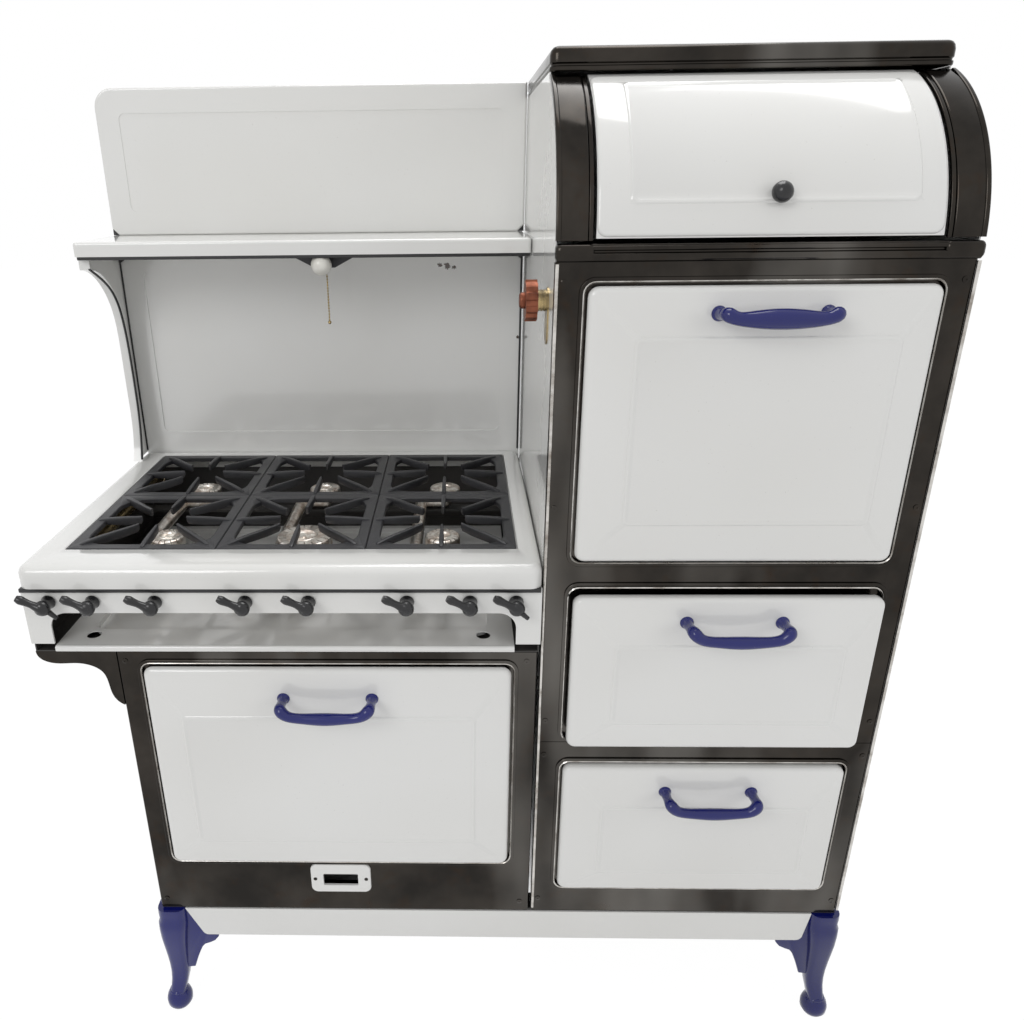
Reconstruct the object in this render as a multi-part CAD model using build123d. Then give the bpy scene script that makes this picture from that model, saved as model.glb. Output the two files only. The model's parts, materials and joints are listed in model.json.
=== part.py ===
"""Cabinet gas range: six burners and an oven on the left, an oven tower with a roll-top closet on the right.

Units are millimetres. The pieces are laid out with X = 0 at the tower's left face, Y = 0 at the
front frames' face and Z = 0 on the floor. save() then moves them so that the origin is at the
centre of the whole box's bottom.
"""
import os
from math import acos, asin, cos, degrees, radians, sin

from build123d import *

# Overall layout
cooktop_width = 777.0
cooktop_height = 914.0
tower_width = 530.0
body_inset = 125.0
body_depth = 565.0
base_height = 243.0
splash_front = 543.0
wall = 2.0
casting = 8.0
running_gap = 0.05
seat_gap = 0.3

# Base and legs
base_ring_thickness = 5.0
base_ring_width = 34.0
skirt_height = 62.0
skirt_thickness = 3.0
skirt_slant = 29.0
leg_top = 50.0
leg_bulge = 2.0
leg_ankle = 34.0
leg_ankle_height = 78.0
leg_overhang = 10.0
foot_radius = 23.0
foot_kick = 9.0
foot_flat = 3.0
wing_reach = 104.0
wing_thickness = 7.0

# Doors and drawers
door_gap = 6.0
door_corner = 16.0
door_depth = 16.0
door_proud = 12.0
door_edge_round = 8.0
emboss_margin = 65.0
emboss_depth = 1.2
bead_width = 5.0
bead_height = 3.0
lip_width = 16.0
lip_thickness = 3.0
ear_width = 5.0
ear_inset = 70.0
hinge_pin_radius = 3.0

tower_opening_left = 37.0
tower_opening_width = 460.0
upper_opening_bottom = 914.0
upper_opening_height = 398.0
middle_opening_bottom = 602.0
middle_opening_height = 276.0
middle_front_height = 262.0
middle_drawer_out = 16.0
lower_opening_bottom = 296.0
lower_opening_height = 268.0
tower_joint = 599.0
tower_frame_top = 1335.0

oven_opening_left = -618.0
oven_opening_width = 581.0
oven_opening_bottom = 349.0
oven_opening_height = 397.0
oven_frame_top = 764.0
oven_frame_gap = 4.0

liner_depth = 480.0
liner_flange = 12.0
upper_cavity_height = 352.0
lower_cavity_height = 348.0
rack_margin = 3.0
rack_rod = 3.0
rack_cross_rod = 2.5
rack_wire = 1.8
rack_spacing = 32.0
rack_rise = 110.0
ledge = 9.0
drawer_box_depth = 440.0
drawer_side_clearance = 8.0
drawer_box_rim = 24.0
runner_height = 12.0

# Handles
handle_spacing = 138.0
handle_reach = 40.0
handle_rod = 6.5
handle_grip = 10.5
handle_drop = 7.0
handle_flange = 10.0
upper_handle_drop = 34.0
drawer_handle_drop = 38.0
lower_handle_drop = 46.0
oven_handle_drop = 52.0

# Cooktop, grates and burners
cooktop_skirt = 35.0
cooktop_overhang = 14.0
cooktop_round = 18.0
cooktop_sheet = 3.0
grate_left = -727.0
grate_right = -35.0
grate_front = 54.0
grate_back = 514.0
grate_thickness = 8.0
grate_joint = 1.0
grate_clearance = 1.5
grate_rim = 17.0
grate_corner = 38.0
grate_hub = 38.0
rib_width = 7.0
rib_height = 14.0
burner_top = 886.0
burner_radius = 29.0
big_burner_radius = 46.0
burner_depth = 16.0
burner_slots = 18
throat_radius = 11.0
rail_width = 28.0
rail_thickness = 4.0

# Valve panel, gas pipe, levers and tray
panel_proud = 8.0
panel_sheet = 3.0
panel_bottom = 836.0
cheek_bottom = 783.0
cheek_width = 37.0
cheek_round = 26.0
valve_height = 856.0
valve_places = (-735.0, -668.6, -575.0, -440.0, -346.0, -200.0, -107.0, -39.0)
pipe_radius = 13.35
pipe_wall = 2.9
supply_radius = 10.65
elbow_radius = 17.0
elbow_reach = 26.0
coupling_length = 12.0
pipe_y = 40.0
valve_radius = 9.0
stem_radius = 4.0
lever_out = 24.0
lever_length = 36.0
lever_rise = 30.0
tray_top = 781.0
tray_lip = 10.0
tray_front = -13.0
tray_depth = 470.0
tray_sheet = 1.6
tray_basin = 11.0
tray_margin = 36.0
tray_hole = 11.0

# High back
shelf_height = 1342.0
shelf_thickness = 24.0
shelf_front = 360.0
panel_top = 1592.0
back_panel_thickness = 20.0
splash_margin = 42.0
bracket_thickness = 5.0
bracket_flange = 18.0
lamp_x = -358.0
lamp_y = 392.0
lamp_width = 136.0
lamp_drop = 26.0
bulb_radius = 21.0
bulb_neck = 9.0
socket_radius = 14.0
chain_offset = 4.0
chain_wire = 0.9
chain_length = 92.0
chain_bead = 1.6

# Roll-top closet
arc_radius = 240.0
arc_centre_height = 1340.0
cap_bottom = 1566.0
cap_top = 1597.0
cap_front = 149.0
cap_sheet = 4.0
cap_wall = 8.0
trim_width = 41.0
trim_overhang = 3.0
trim_thickness = 6.0
roll_clearance = 3.0
roll_sheet = 3.0
roll_side_gap = 10.0
roll_bottom_angle = 5.6
roll_top_angle = 70.0
pivot_radius = 6.0
pivot_hub = 12.0
knob_angle = 17.5
knob_radius = 13.0
knob_x = 274.0
moulding_top = 1357.0
moulding_proud = 6.0
moulding_bead = 6.0
closet_floor = 1320.0

# Regulator
regulator_y = 70.0
regulator_z = 1279.0
collar_radius = 14.5
collar_length = 15.0
wheel_radius = 28.0
wheel_thickness = 20.0
wheel_lobes = 10

# Flue and gas inlet
flue_radius = 76.0
flue_length = 38.0
flue_height = 1450.0
inlet_length = 24.0
inlet_stand_off = 2.0

# Places worked out from the sizes above
body_left = -cooktop_width + body_inset
arc_y = arc_radius
left_edge = -cooktop_width
ankle_inset = (leg_top - leg_ankle) * 0.32
foot_inset = leg_ankle / 2 + ankle_inset - foot_kick
right_edge = tower_width + leg_overhang + foot_radius - foot_inset
handle_front = door_proud + handle_reach + handle_grip
front_edge = -(middle_drawer_out + handle_front)
back_edge = body_depth + flue_length
shift_x = -(left_edge + right_edge) / 2
shift_y = -(front_edge + back_edge) / 2

os.makedirs("parts", exist_ok=True)


def save(name, solid):
    """Write one node, moved to the part's own origin."""
    export_step(Pos(shift_x, shift_y, 0) * solid, f"parts/{name}.step")


def block(x0, x1, y0, y1, z0, z1):
    """A box from its low and high faces."""
    return Pos((x0 + x1) / 2, (y0 + y1) / 2, (z0 + z1) / 2) * Box(x1 - x0, y1 - y0, z1 - z0)


def front_plate(x0, x1, z0, z1, y0, y1, corner):
    """A plate that faces the front, with rounded corners, from y0 at the front to y1 behind."""
    middle = Pos((x0 + x1) / 2, (z0 + z1) / 2)
    outline = Plane.XZ.offset(-y1) * middle * RectangleRounded(x1 - x0, z1 - z0, corner)
    return extrude(outline, y1 - y0)


def rod_x(x0, x1, y, z, radius):
    """A round bar along X."""
    return Pos((x0 + x1) / 2, y, z) * Rot(0, 90, 0) * Cylinder(radius, x1 - x0)


def rod_y(x, y0, y1, z, radius):
    """A round bar along Y."""
    return Pos(x, (y0 + y1) / 2, z) * Rot(90, 0, 0) * Cylinder(radius, y1 - y0)


def rod_z(x, y, z0, z1, radius):
    """A round bar along Z."""
    return Pos(x, y, (z0 + z1) / 2) * Cylinder(radius, z1 - z0)


def arc_wall(x0, x1, outer, inner, low, high):
    """Part of a ring about the roll-top's axis, between two angles up from the front."""
    def point(radius, angle):
        a = radians(angle)
        return (x0, arc_y - radius * cos(a), arc_centre_height + radius * sin(a))
    middle = (low + high) / 2
    outline = [
        ThreePointArc(point(outer, low), point(outer, middle), point(outer, high)),
        Line(point(outer, high), point(inner, high)),
        ThreePointArc(point(inner, high), point(inner, middle), point(inner, low)),
        Line(point(inner, low), point(outer, low)),
    ]
    return extrude(make_face(outline), x1 - x0, dir=(1, 0, 0))


# Legs and base

def leg(side, end):
    """A cast cabriole leg with two curved wings; side is -1 or 1 in X and end is -1 at the front."""
    corner_x = body_left - leg_overhang if side < 0 else tower_width + leg_overhang
    corner_y = -leg_overhang if end < 0 else body_depth + leg_overhang / 2
    top = base_height - base_ring_thickness

    def section(z, size, inward):
        x = corner_x - side * (size / 2 + inward)
        y = corner_y - end * (size / 2 + inward)
        return Pos(x, y, z) * RectangleRounded(size, size, size * 0.28)

    column = loft([
        section(top, leg_top, 0),
        section(top - skirt_height * 0.5, leg_top, -leg_bulge),
        section((top + leg_ankle_height) / 2, (leg_top + leg_ankle) * 0.46, 3),
        section(leg_ankle_height, leg_ankle, ankle_inset),
        section(foot_radius, leg_ankle * 0.82, ankle_inset - foot_kick / 2),
    ])
    foot_x = corner_x - side * foot_inset
    foot_y = corner_y - end * foot_inset
    foot = Pos(foot_x, foot_y, foot_radius - foot_flat) * Sphere(foot_radius)
    foot -= block(foot_x - 40, foot_x + 40, foot_y - 40, foot_y + 40, -40, 0)

    wing_bottom = top - skirt_height

    # Outline of a wing: distance inward from the leg's outer corner, and height
    wing_outline = [
        (leg_top / 2, top), (wing_reach - 4, top), (wing_reach, wing_bottom), (wing_reach - 8,
                                                                               wing_bottom - 28),
        (wing_reach - 30, wing_bottom - 44), (wing_reach - 50, wing_bottom - 66),
        (wing_reach - 56, leg_ankle_height + 14), (leg_top / 2, leg_ankle_height + 14),
    ]

    front_y0 = corner_y - end * (leg_overhang + skirt_thickness)
    points = [(corner_x - side * u, front_y0, z) for u, z in wing_outline]
    wing_front = extrude(make_face(Polyline(*points, close=True)), wing_thickness, dir=(0, -end, 0))
    side_x0 = corner_x - side * (leg_overhang + skirt_thickness)
    points = [(side_x0, corner_y - end * u, z) for u, z in wing_outline]
    wing_side = extrude(make_face(Polyline(*points, close=True)), wing_thickness, dir=(-side, 0, 0))
    return column + foot + wing_front + wing_side


def base_ring():
    """Flat ring that the casings stand on and the legs bolt to."""
    z0 = base_height - base_ring_thickness
    outer = block(body_left + 1, tower_width, skirt_thickness, body_depth, z0, base_height)
    inner = block(body_left + 1 + base_ring_width, tower_width - base_ring_width,
                  skirt_thickness + base_ring_width,
                  body_depth - base_ring_width, z0 - 1, base_height + 1)
    return outer - inner


def base_skirt():
    """Front apron with slanted ends, between the front legs."""
    top = base_height - base_ring_thickness
    bottom = top - skirt_height
    left = body_left + leg_top - leg_overhang + 1
    right = tower_width - leg_top + leg_overhang - 1
    flange_inset = wing_reach - leg_top + 4
    points = [(left, 0, top), (right, 0, top), (right - skirt_slant * 0.35, 0, bottom),
              (left + skirt_slant, 0, bottom)]
    apron = extrude(make_face(Polyline(*points, close=True)), skirt_thickness, dir=(0, 1, 0))
    apron = fillet(apron.edges().filter_by(Axis.Y).sort_by(Axis.Z)[:2], 11)
    flange = block(left + flange_inset, right - flange_inset, skirt_thickness, skirt_thickness + 14,
                   bottom,
                   bottom + skirt_thickness)
    return apron + flange


# Front frames

def bead(x0, x1, z0, z1):
    """Raised bead round an opening in a front frame."""
    outer = front_plate(x0 - bead_width, x1 + bead_width, z0 - bead_width, z1 + bead_width,
                        -bead_height, 0.5,
                        door_corner + bead_width)
    outer = fillet(outer.faces().sort_by(Axis.Y)[0].outer_wire().edges(), 1.4)
    inner = front_plate(x0, x1, z0, z1, -bead_height - 1, 1, door_corner)
    return outer - inner


def frame_with_openings(x0, x1, z0, z1, openings, round_edges):
    """Cast front frame: each opening is (x0, x1, z0, z1, hinged)."""
    frame = block(x0, x1, 0, casting, z0, z1)
    frame = fillet(frame.edges().filter_by(Axis.Z).sort_by(Axis.Y)[:2], round_edges)
    for ox0, ox1, oz0, oz1, hinged in openings:
        frame -= front_plate(ox0, ox1, oz0, oz1, -1, casting - lip_thickness, door_corner)
        frame -= front_plate(ox0 + lip_width, ox1 - lip_width, oz0 + lip_width, oz1 - lip_width, 0,
                             casting + 1, 6)
        frame += bead(ox0, ox1, oz0, oz1)
        if hinged:
            for ear_x in (ox0 + ear_inset, ox1 - ear_inset):
                frame += hinge_ear(ear_x, oz0)
    return frame


def hinge_ear(x, opening_bottom):
    """Ear behind a drop door that its hinge pin turns in."""
    z = hinge_height(opening_bottom)
    ear = rod_x(x - ear_width / 2, x + ear_width / 2, hinge_y(), z, 4.5)
    ear += block(x - ear_width / 2, x + ear_width / 2, hinge_y(), casting - lip_thickness + 0.5,
                 z - 4.5, z + 3.5)
    return ear - rod_x(x - ear_width, x + ear_width, hinge_y(), z, hinge_pin_radius + running_gap)


def hinge_height(opening_bottom):
    """Height of a drop door's hinge axis."""
    return opening_bottom + door_gap + door_depth / 2


def hinge_y():
    """Depth of a drop door's hinge axis."""
    return -door_proud + door_depth / 2


# Doors

def door_panel(x0, x1, z0, z1, hinged):
    """Pressed front panel, open at the back, with a rounded edge and an embossed field."""
    front = -door_proud
    back = front + door_depth
    shell = front_plate(x0, x1, z0, z1, front, back, door_corner - 4)
    shell = fillet(shell.faces().sort_by(Axis.Y)[0].outer_wire().edges(), door_edge_round)
    field = front_plate(x0 + emboss_margin, x1 - emboss_margin, z0 + emboss_margin, z1 - emboss_margin,
                        front - 1,
                        front + emboss_depth, 4)
    hollow = front_plate(x0 + door_edge_round, x1 - door_edge_round, z0 + door_edge_round,
                         z1 - door_edge_round,
                         front + emboss_depth + wall, back + 1, 4)
    shell = shell - field - hollow
    if hinged:
        for ear_x in (x0 - door_gap + ear_inset, x1 + door_gap - ear_inset):
            shell = hinge_pocket(shell, ear_x, z0)
        hinge_z = z0 + door_depth / 2
        heel = block(x0 - 1, x1 + 1, hinge_y(), back + 1, z0 - 1, hinge_z)
        shell -= heel - rod_x(x0 - 2, x1 + 2, hinge_y(), hinge_z, door_depth / 2)
    return shell


def hinge_pocket(shell, x, z0):
    """Boss, slot and pin at the foot of a drop door, for one ear of the frame."""
    y = hinge_y()
    z = z0 + door_depth / 2
    slot = ear_width / 2 + 1
    front = -door_proud
    boss = block(x - slot - 9, x + slot + 9, front + wall, front + door_depth, z0 + 3, z0 + door_depth)
    boss = fillet(boss.edges().filter_by(Axis.X).sort_by(Axis.Z)[:2], 3)
    shell += boss
    shell -= block(x - slot, x + slot, y - 5.5, front + door_depth + 1, z0 - 1, z0 + door_depth - 2.5)
    shell += rod_x(x - slot - 2, x + slot + 2, y, z, hinge_pin_radius)
    return shell


def door_back(x0, x1, z0, z1):
    """Flat inner plate that closes the back of a door, with a low tray stiffener."""
    back = -door_proud + door_depth
    inset = door_edge_round + seat_gap
    plate = front_plate(x0 + inset, x1 - inset, z0 + door_depth + seat_gap, z1 - inset, back - 3,
                        back - 1, 4)
    rib = front_plate(x0 + 4 * inset, x1 - 4 * inset, z0 + door_depth + 4 * inset, z1 - 4 * inset,
                      back - 1.5,
                      back + 3, 6)
    rib = fillet(rib.faces().sort_by(Axis.Y)[-1].outer_wire().edges(), 1.5)
    return plate + rib


def handle(x, z, front):
    """Pull handle: two posts, bent ends and a fat middle grip, standing out from y = front."""
    half = handle_spacing / 2
    out = front - handle_reach
    low = z - handle_drop
    path = FilletPolyline((x - half, front, z), (x - half, out, low), (x + half, out, low), (x + half,
                                                                                             front, z),
                          radius=15)
    start = Plane(origin=(x - half, front, z), z_dir=path % 0)
    bar = sweep(start * Circle(handle_rod), path)
    bulge = handle_grip - handle_rod
    outline = make_face([
        Line((-half * 0.72, 0), (-half * 0.72, handle_rod - 1.5)),
        ThreePointArc((-half * 0.72, handle_rod - 1.5), (0, handle_rod + bulge), (half * 0.72,
                                                                                  handle_rod - 1.5)),
        Line((half * 0.72, handle_rod - 1.5), (half * 0.72, 0)),
        Line((half * 0.72, 0), (-half * 0.72, 0)),
    ])
    grip = Pos(x, out, low) * revolve(outline, Axis.X)
    solid = bar + grip
    for end in (-half, half):
        solid += rod_y(x + end, front - 5, front, z, handle_flange)
    return solid - block(x - handle_spacing, x + handle_spacing, front, front + 20, z - 40, z + 40)


# Ovens

def oven_liner(x0, x1, z0, z1):
    """Oven box open at the front, with a flange behind the frame and a ledge each side for the rack."""
    y0 = casting
    y1 = casting + liner_depth
    box = block(x0, x1, y0, y1, z0, z1)
    box -= block(x0 + wall, x1 - wall, y0 - 1, y1 - wall, z0 + wall, z1 - wall)
    flange = block(x0 - liner_flange, x1 + liner_flange, y0, y0 + wall, z0 - liner_flange,
                   z1 + liner_flange)
    flange -= block(x0 + wall, x1 - wall, y0 - 1, y0 + wall + 1, z0 + wall, z1 - wall)
    solid = box + flange
    z = z0 + rack_rise
    solid += block(x0 + wall - 0.5, x0 + wall + ledge, y0 + 20, y1 - wall, z - wall, z)
    solid += block(x1 - wall - ledge, x1 - wall + 0.5, y0 + 20, y1 - wall, z - wall, z)
    return solid


def oven_rack(x0, x1, z0):
    """Wire rack that rests on the liner's ledges."""
    y0 = casting + 24
    y1 = casting + liner_depth - 12
    left = x0 + wall + rack_margin
    right = x1 - wall - rack_margin
    z = z0 + rack_rise + rack_rod
    overrun = 2 * rack_rod
    rack = rod_y(left, y0 - overrun, y1 + overrun, z, rack_rod)
    rack += rod_y(right, y0 - overrun, y1 + overrun, z, rack_rod)
    for y in (y0, (y0 + y1) / 2, y1):
        rack += rod_x(left, right, y, z, rack_cross_rod)
    count = round((right - left) / rack_spacing)
    for i in range(1, count):
        x = left + (right - left) * i / count
        rack += rod_y(x, y0 - rack_rod, y1 + rack_rod, z + rack_cross_rod, rack_wire)
    return rack


def oven_burner(x0, x1, z, floor):
    """Pipe burner hung under an oven floor: two runs joined at the front and back."""
    y0 = casting + 60
    y1 = casting + liner_depth - 60
    radius = 11.0
    inset = 110.0
    left = x0 + inset
    right = x1 - inset
    solid = rod_y(left, y0, y1, z, radius) + rod_y(right, y0, y1, z, radius)
    solid += rod_x(left, right, y0, z, radius) + rod_x(left, right, y1, z, radius)
    for x in (left, right):
        for y in (y0, y1):
            solid += Pos(x, y, z) * Sphere(radius)
    for x in (left, right):
        solid += rod_z(x, (y0 + y1) / 2, z, floor, 5)
    return solid


def left_casing():
    """Outer sheet of the left body: side, floor, back and inner side in one folded shell."""
    x0 = body_left + 1
    x1 = -oven_frame_gap
    shell = block(x0, x1, casting, body_depth, base_height, oven_frame_top)
    shell -= block(x0 + wall, x1 - wall, casting - 1, body_depth - wall, base_height + wall,
                   oven_frame_top + 1)
    return shell


def tower_sides():
    """Two side panels whose tops follow the roll-top's arc, each with a pivot stud inside."""
    radius = arc_radius - trim_thickness - seat_gap
    low = acos((arc_y - casting) / radius)
    high = acos((arc_y - cap_front - cap_wall) / radius)

    def on_arc(x, angle):
        return (x, arc_y - radius * cos(angle), arc_centre_height + radius * sin(angle))

    def panel(x):
        front_top = on_arc(x, low)
        cap_foot = on_arc(x, high)
        back = body_depth - wall
        points = [
            Line((x, casting, base_height), front_top),
            ThreePointArc(front_top, on_arc(x, (low + high) / 2), cap_foot),
            Line(cap_foot, (x, cap_foot[1], cap_bottom)),
            Line((x, cap_foot[1], cap_bottom), (x, back, cap_bottom)),
            Line((x, back, cap_bottom), (x, back, base_height)),
            Line((x, back, base_height), (x, casting, base_height)),
        ]
        return extrude(make_face(points), wall, dir=(1, 0, 0))

    reach = trim_width + roll_side_gap + 6
    left = panel(0) + rod_x(wall / 2, reach, arc_y, arc_centre_height, pivot_radius)
    left += rod_x(wall / 2, reach - 8, arc_y, arc_centre_height, pivot_hub)
    right = panel(tower_width - wall)
    right += rod_x(tower_width - reach + trim_overhang, tower_width - wall / 2, arc_y,
                   arc_centre_height, pivot_radius)
    right += rod_x(tower_width - reach + 8 + trim_overhang, tower_width - wall / 2, arc_y,
                   arc_centre_height,
                   pivot_hub)
    return [left, right]


def tower_back():
    """Back sheet of the tower, with the hole under the flue collar."""
    sheet = block(0, tower_width, body_depth - wall, body_depth, base_height, cap_bottom)
    return sheet - rod_y(tower_width / 2, body_depth - 5, body_depth + 5, flue_height, flue_radius - wall)


def flue_collar():
    """Round flue outlet on the tower's back."""
    x = tower_width / 2
    ring = rod_y(x, body_depth, body_depth + flue_length, flue_height, flue_radius)
    flange = rod_y(x, body_depth, body_depth + wall, flue_height, flue_radius + 14)
    bore = rod_y(x, body_depth - 1, body_depth + flue_length + 1, flue_height, flue_radius - wall)
    return ring + flange - bore


# Roll-top closet

def roll_edges():
    """Left and right edges of the roll-top door."""
    left = trim_width + roll_side_gap
    return left, tower_width + trim_overhang - left


def roll_top_door():
    """Curved door with rounded side edges and a quadrant cheek at each end that turns on a stud."""
    left, right = roll_edges()
    outer = arc_radius - roll_clearance
    inner = outer - roll_sheet
    door = arc_wall(left, right, outer, inner, roll_bottom_angle, roll_top_angle)
    door += arc_wall(left, right, inner + 0.5, inner - 8, roll_bottom_angle, roll_bottom_angle + 0.8)
    for x0 in (left + 1.0, right - 3.0):
        cheek_low = radians(roll_bottom_angle)
        cheek_high = radians(roll_top_angle)
        middle = (cheek_low + cheek_high) / 2
        radius = inner + 0.5

        def place(angle, r, x=x0):
            return (x, arc_y - r * cos(angle), arc_centre_height + r * sin(angle))

        outline = [
            Line(place(0, 0), place(cheek_low, radius)),
            ThreePointArc(place(cheek_low, radius), place(middle, radius), place(cheek_high, radius)),
            Line(place(cheek_high, radius), place(0, 0)),
        ]
        door += extrude(make_face(outline), 2.0, dir=(1, 0, 0))
        door += rod_x(x0, x0 + 2.0, arc_y, arc_centre_height, pivot_hub)
        door -= rod_x(x0 - 3, x0 + 5, arc_y, arc_centre_height, pivot_radius + running_gap)
    a = radians(knob_angle)
    return door - knob_shank(3.0, a, outer - 20, outer + 4)


def knob_shank(radius, angle, r0, r1):
    """Round bar pointing out from the roll-top's axis, at the knob's place."""
    axis = Vector(0, -cos(angle), sin(angle))
    start = Vector(knob_x, arc_y, arc_centre_height) + axis * r0
    return extrude(Plane(origin=start, z_dir=axis) * Circle(radius), r1 - r0)


def roll_top_knob():
    """Ball knob with a neck and a shank through the door."""
    a = radians(knob_angle)
    outer = arc_radius - roll_clearance
    axis = Vector(0, -cos(a), sin(a))
    centre = Vector(knob_x, arc_y, arc_centre_height) + axis * (outer + 5 + knob_radius * 0.8)
    ball = Pos(*centre) * Sphere(knob_radius)
    neck = knob_shank(5.5, a, outer + 0.2, outer + 10)
    shank = knob_shank(2.8, a, outer - 9, outer + 2)
    nut = knob_shank(6.0, a, outer - roll_sheet - 5, outer - roll_sheet - 0.6)
    return ball + neck + shank + nut


def arc_trims():
    """Curved cast trims at both sides of the roll-top, each with a thin inner rail."""
    top_angle = degrees(acos((arc_y - cap_front) / arc_radius))
    low = degrees(asin((moulding_top - arc_centre_height) / (arc_radius - trim_thickness - 2)))
    trims = []
    for x0, x1, rail0 in ((0, trim_width, trim_width), (tower_width + trim_overhang - trim_width,
                                                       tower_width + trim_overhang,
                                                       tower_width + trim_overhang - trim_width - 5)):
        trim = arc_wall(x0, x1, arc_radius, arc_radius - trim_thickness, low, top_angle)
        outer_edges = trim.edges().filter_by(GeomType.CIRCLE).sort_by(lambda edge: edge.radius)[-2:]
        trim = fillet(outer_edges, 4.5)
        rail = arc_wall(rail0 - 0.5, rail0 + 5.5, arc_radius - 1.2, arc_radius - trim_thickness, low,
                        top_angle)
        trims.append(trim + rail)
    return trims


def tower_moulding():
    """Bead moulding and sill between the front frame and the roll-top, with a capital at each end."""
    right = tower_width + trim_overhang
    sill = block(trim_width, right - trim_width, -1, 20, tower_frame_top, moulding_top)
    sill += rod_x(1, tower_width - 1, 0, tower_frame_top + moulding_bead, moulding_bead)
    for x0, x1 in ((0, trim_width + 8), (right - trim_width - 8, right)):
        capital = block(x0, x1, -moulding_proud, casting - seat_gap, tower_frame_top, moulding_top)
        capital = fillet(capital.edges().filter_by(Axis.X).sort_by(Axis.Y)[:2], 9)
        sill += capital
    return sill


def top_cap():
    """Cap over the closet: a top sheet with a rounded rim at the front and sides."""
    cap = block(0, tower_width + trim_overhang, cap_front, body_depth, cap_bottom, cap_top)
    cap = fillet(cap.edges().filter_by(Axis.Z).sort_by(Axis.Y)[:2], 10)
    top_edges = cap.faces().sort_by(Axis.Z)[-1].outer_wire().edges().sort_by(Axis.Y)[:-1]
    cap = fillet(top_edges, 8)
    hollow = block(cap_wall, tower_width - cap_wall, cap_front + cap_wall, body_depth - cap_wall,
                   cap_bottom - 1,
                   cap_top - cap_sheet)
    return cap - hollow


# Cooktop

def cooktop():
    """Pressed cooktop with a rounded front, side aprons and a ledge round the grate opening."""
    x0 = left_edge
    x1 = -1.0
    bottom = cooktop_height - cooktop_skirt
    top = block(x0, x1, -cooktop_overhang, splash_front, bottom, cooktop_height)
    top = fillet(top.edges().filter_by(Axis.Z).sort_by(Axis.Y)[:2], cooktop_round)
    front = [e for e in top.faces().sort_by(Axis.Z)[-1].outer_wire().edges() if e.center().Y < splash_front - 1]
    top = fillet(front, cooktop_round * 0.85)
    sheet = cooktop_sheet
    hollow = block(x0 + 9, x1 - 9, -cooktop_overhang + 10, splash_front - 9, bottom - 1,
                   cooktop_height - 12)
    hollow += block(x0 + 20, x1 - 20, -cooktop_overhang + 22, splash_front - 9, bottom - 1,
                    cooktop_height - sheet)
    ledge_z = cooktop_height - grate_thickness
    opening = block(grate_left - grate_clearance, grate_right + grate_clearance,
                    grate_front - grate_clearance,
                    grate_back + grate_clearance, bottom - 1, cooktop_height + 1)
    rim = block(grate_left - 8, grate_right + 8, grate_front - 8, grate_back + 8, ledge_z - sheet,
                cooktop_height - sheet)
    well = block(grate_left + 8, grate_right - 8, grate_front + 8, grate_back - 8, ledge_z - sheet - 1,
                 cooktop_height + 1)
    ledge = block(grate_left - 8, grate_right + 8, grate_front - 8, grate_back + 8, ledge_z - sheet,
                  ledge_z)
    return top - hollow + rim - (opening - ledge) - well


def grate_bounds(index):
    """Left and right edges of one of the three grate sections."""
    width = (grate_right - grate_left) / 3
    return (grate_left + index * width + grate_joint / 2,
            grate_left + (index + 1) * width - grate_joint / 2)


def grate_centres():
    """Depths of the middles of the front and rear openings."""
    quarter = (grate_back - grate_front) / 4
    return grate_front + quarter, grate_back - quarter


def grate(index):
    """Cast grate section: a plate with two rounded openings, and raised ribs that point at each burner."""
    x0, x1 = grate_bounds(index)
    z0 = cooktop_height - grate_thickness
    z1 = cooktop_height
    seat = seat_gap * 0.3
    plate = block(x0, x1, grate_front, grate_back, z0 + seat, z1)
    row = (grate_back - grate_front) / 2
    cx = (x0 + x1) / 2
    for cy in grate_centres():
        hole = extrude(Pos(cx, cy, z0 - 1) * RectangleRounded(x1 - x0 - 2 * grate_rim,
                                                              row - 2 * grate_rim,
                                                              grate_corner), grate_thickness + 2)
        plate -= hole
    rib_top = z1 + rib_height - grate_thickness
    for cy in grate_centres():
        half_x = (x1 - x0) / 2 - 2
        half_y = row / 2 - 4
        for angle in range(0, 360, 45):
            a = radians(angle)
            diagonal = angle % 90 != 0
            reach = min(half_x / max(abs(cos(a)), 0.01), half_y / max(abs(sin(a)), 0.01))
            reach = reach - 4 if diagonal else reach - grate_rim * 0.3
            start = grate_hub if not diagonal else grate_hub + 12
            bar = Pos((start + reach) / 2, 0, (z0 + seat + rib_top) / 2) * Box(
                reach - start, rib_width, rib_top - z0 - seat)
            plate += Pos(cx, cy, 0) * Rot(0, 0, angle) * bar
    return plate


def burner(cx, cy, radius, rear):
    """Cast burner: a slotted head on a throat, and a mixing tube that runs to its valve."""
    bottom = burner_top - burner_depth
    head = rod_z(cx, cy, bottom, burner_top, radius)
    head = fillet(head.edges().filter_by(GeomType.CIRCLE).sort_by(Axis.Z)[-1:], 4)
    dish = rod_z(cx, cy, burner_top - 4, burner_top + 1, radius * 0.42)
    head -= dish
    for i in range(burner_slots):
        slot = Pos(radius * 0.86, 0, burner_top - 3) * Box(radius * 0.4, 1.6, 8)
        head -= Pos(cx, cy, 0) * Rot(0, 0, 360 * i / burner_slots) * slot
    tube_z = valve_height
    head += rod_z(cx, cy, tube_z, bottom + 1, throat_radius)
    tube_front = pipe_y + 26
    if rear:
        head += rod_y(cx - 46, tube_front, cy, tube_z, throat_radius) + Pos(cx - 46, cy, tube_z) * Sphere(
            throat_radius)
        head += rod_x(cx - 46, cx, cy, tube_z, throat_radius)
        head += Pos(cx, cy, tube_z) * Sphere(throat_radius)
    else:
        head += rod_y(cx, tube_front, cy, tube_z, throat_radius) + Pos(cx, cy,
                                                                       tube_z) * Sphere(throat_radius)
    return head


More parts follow.
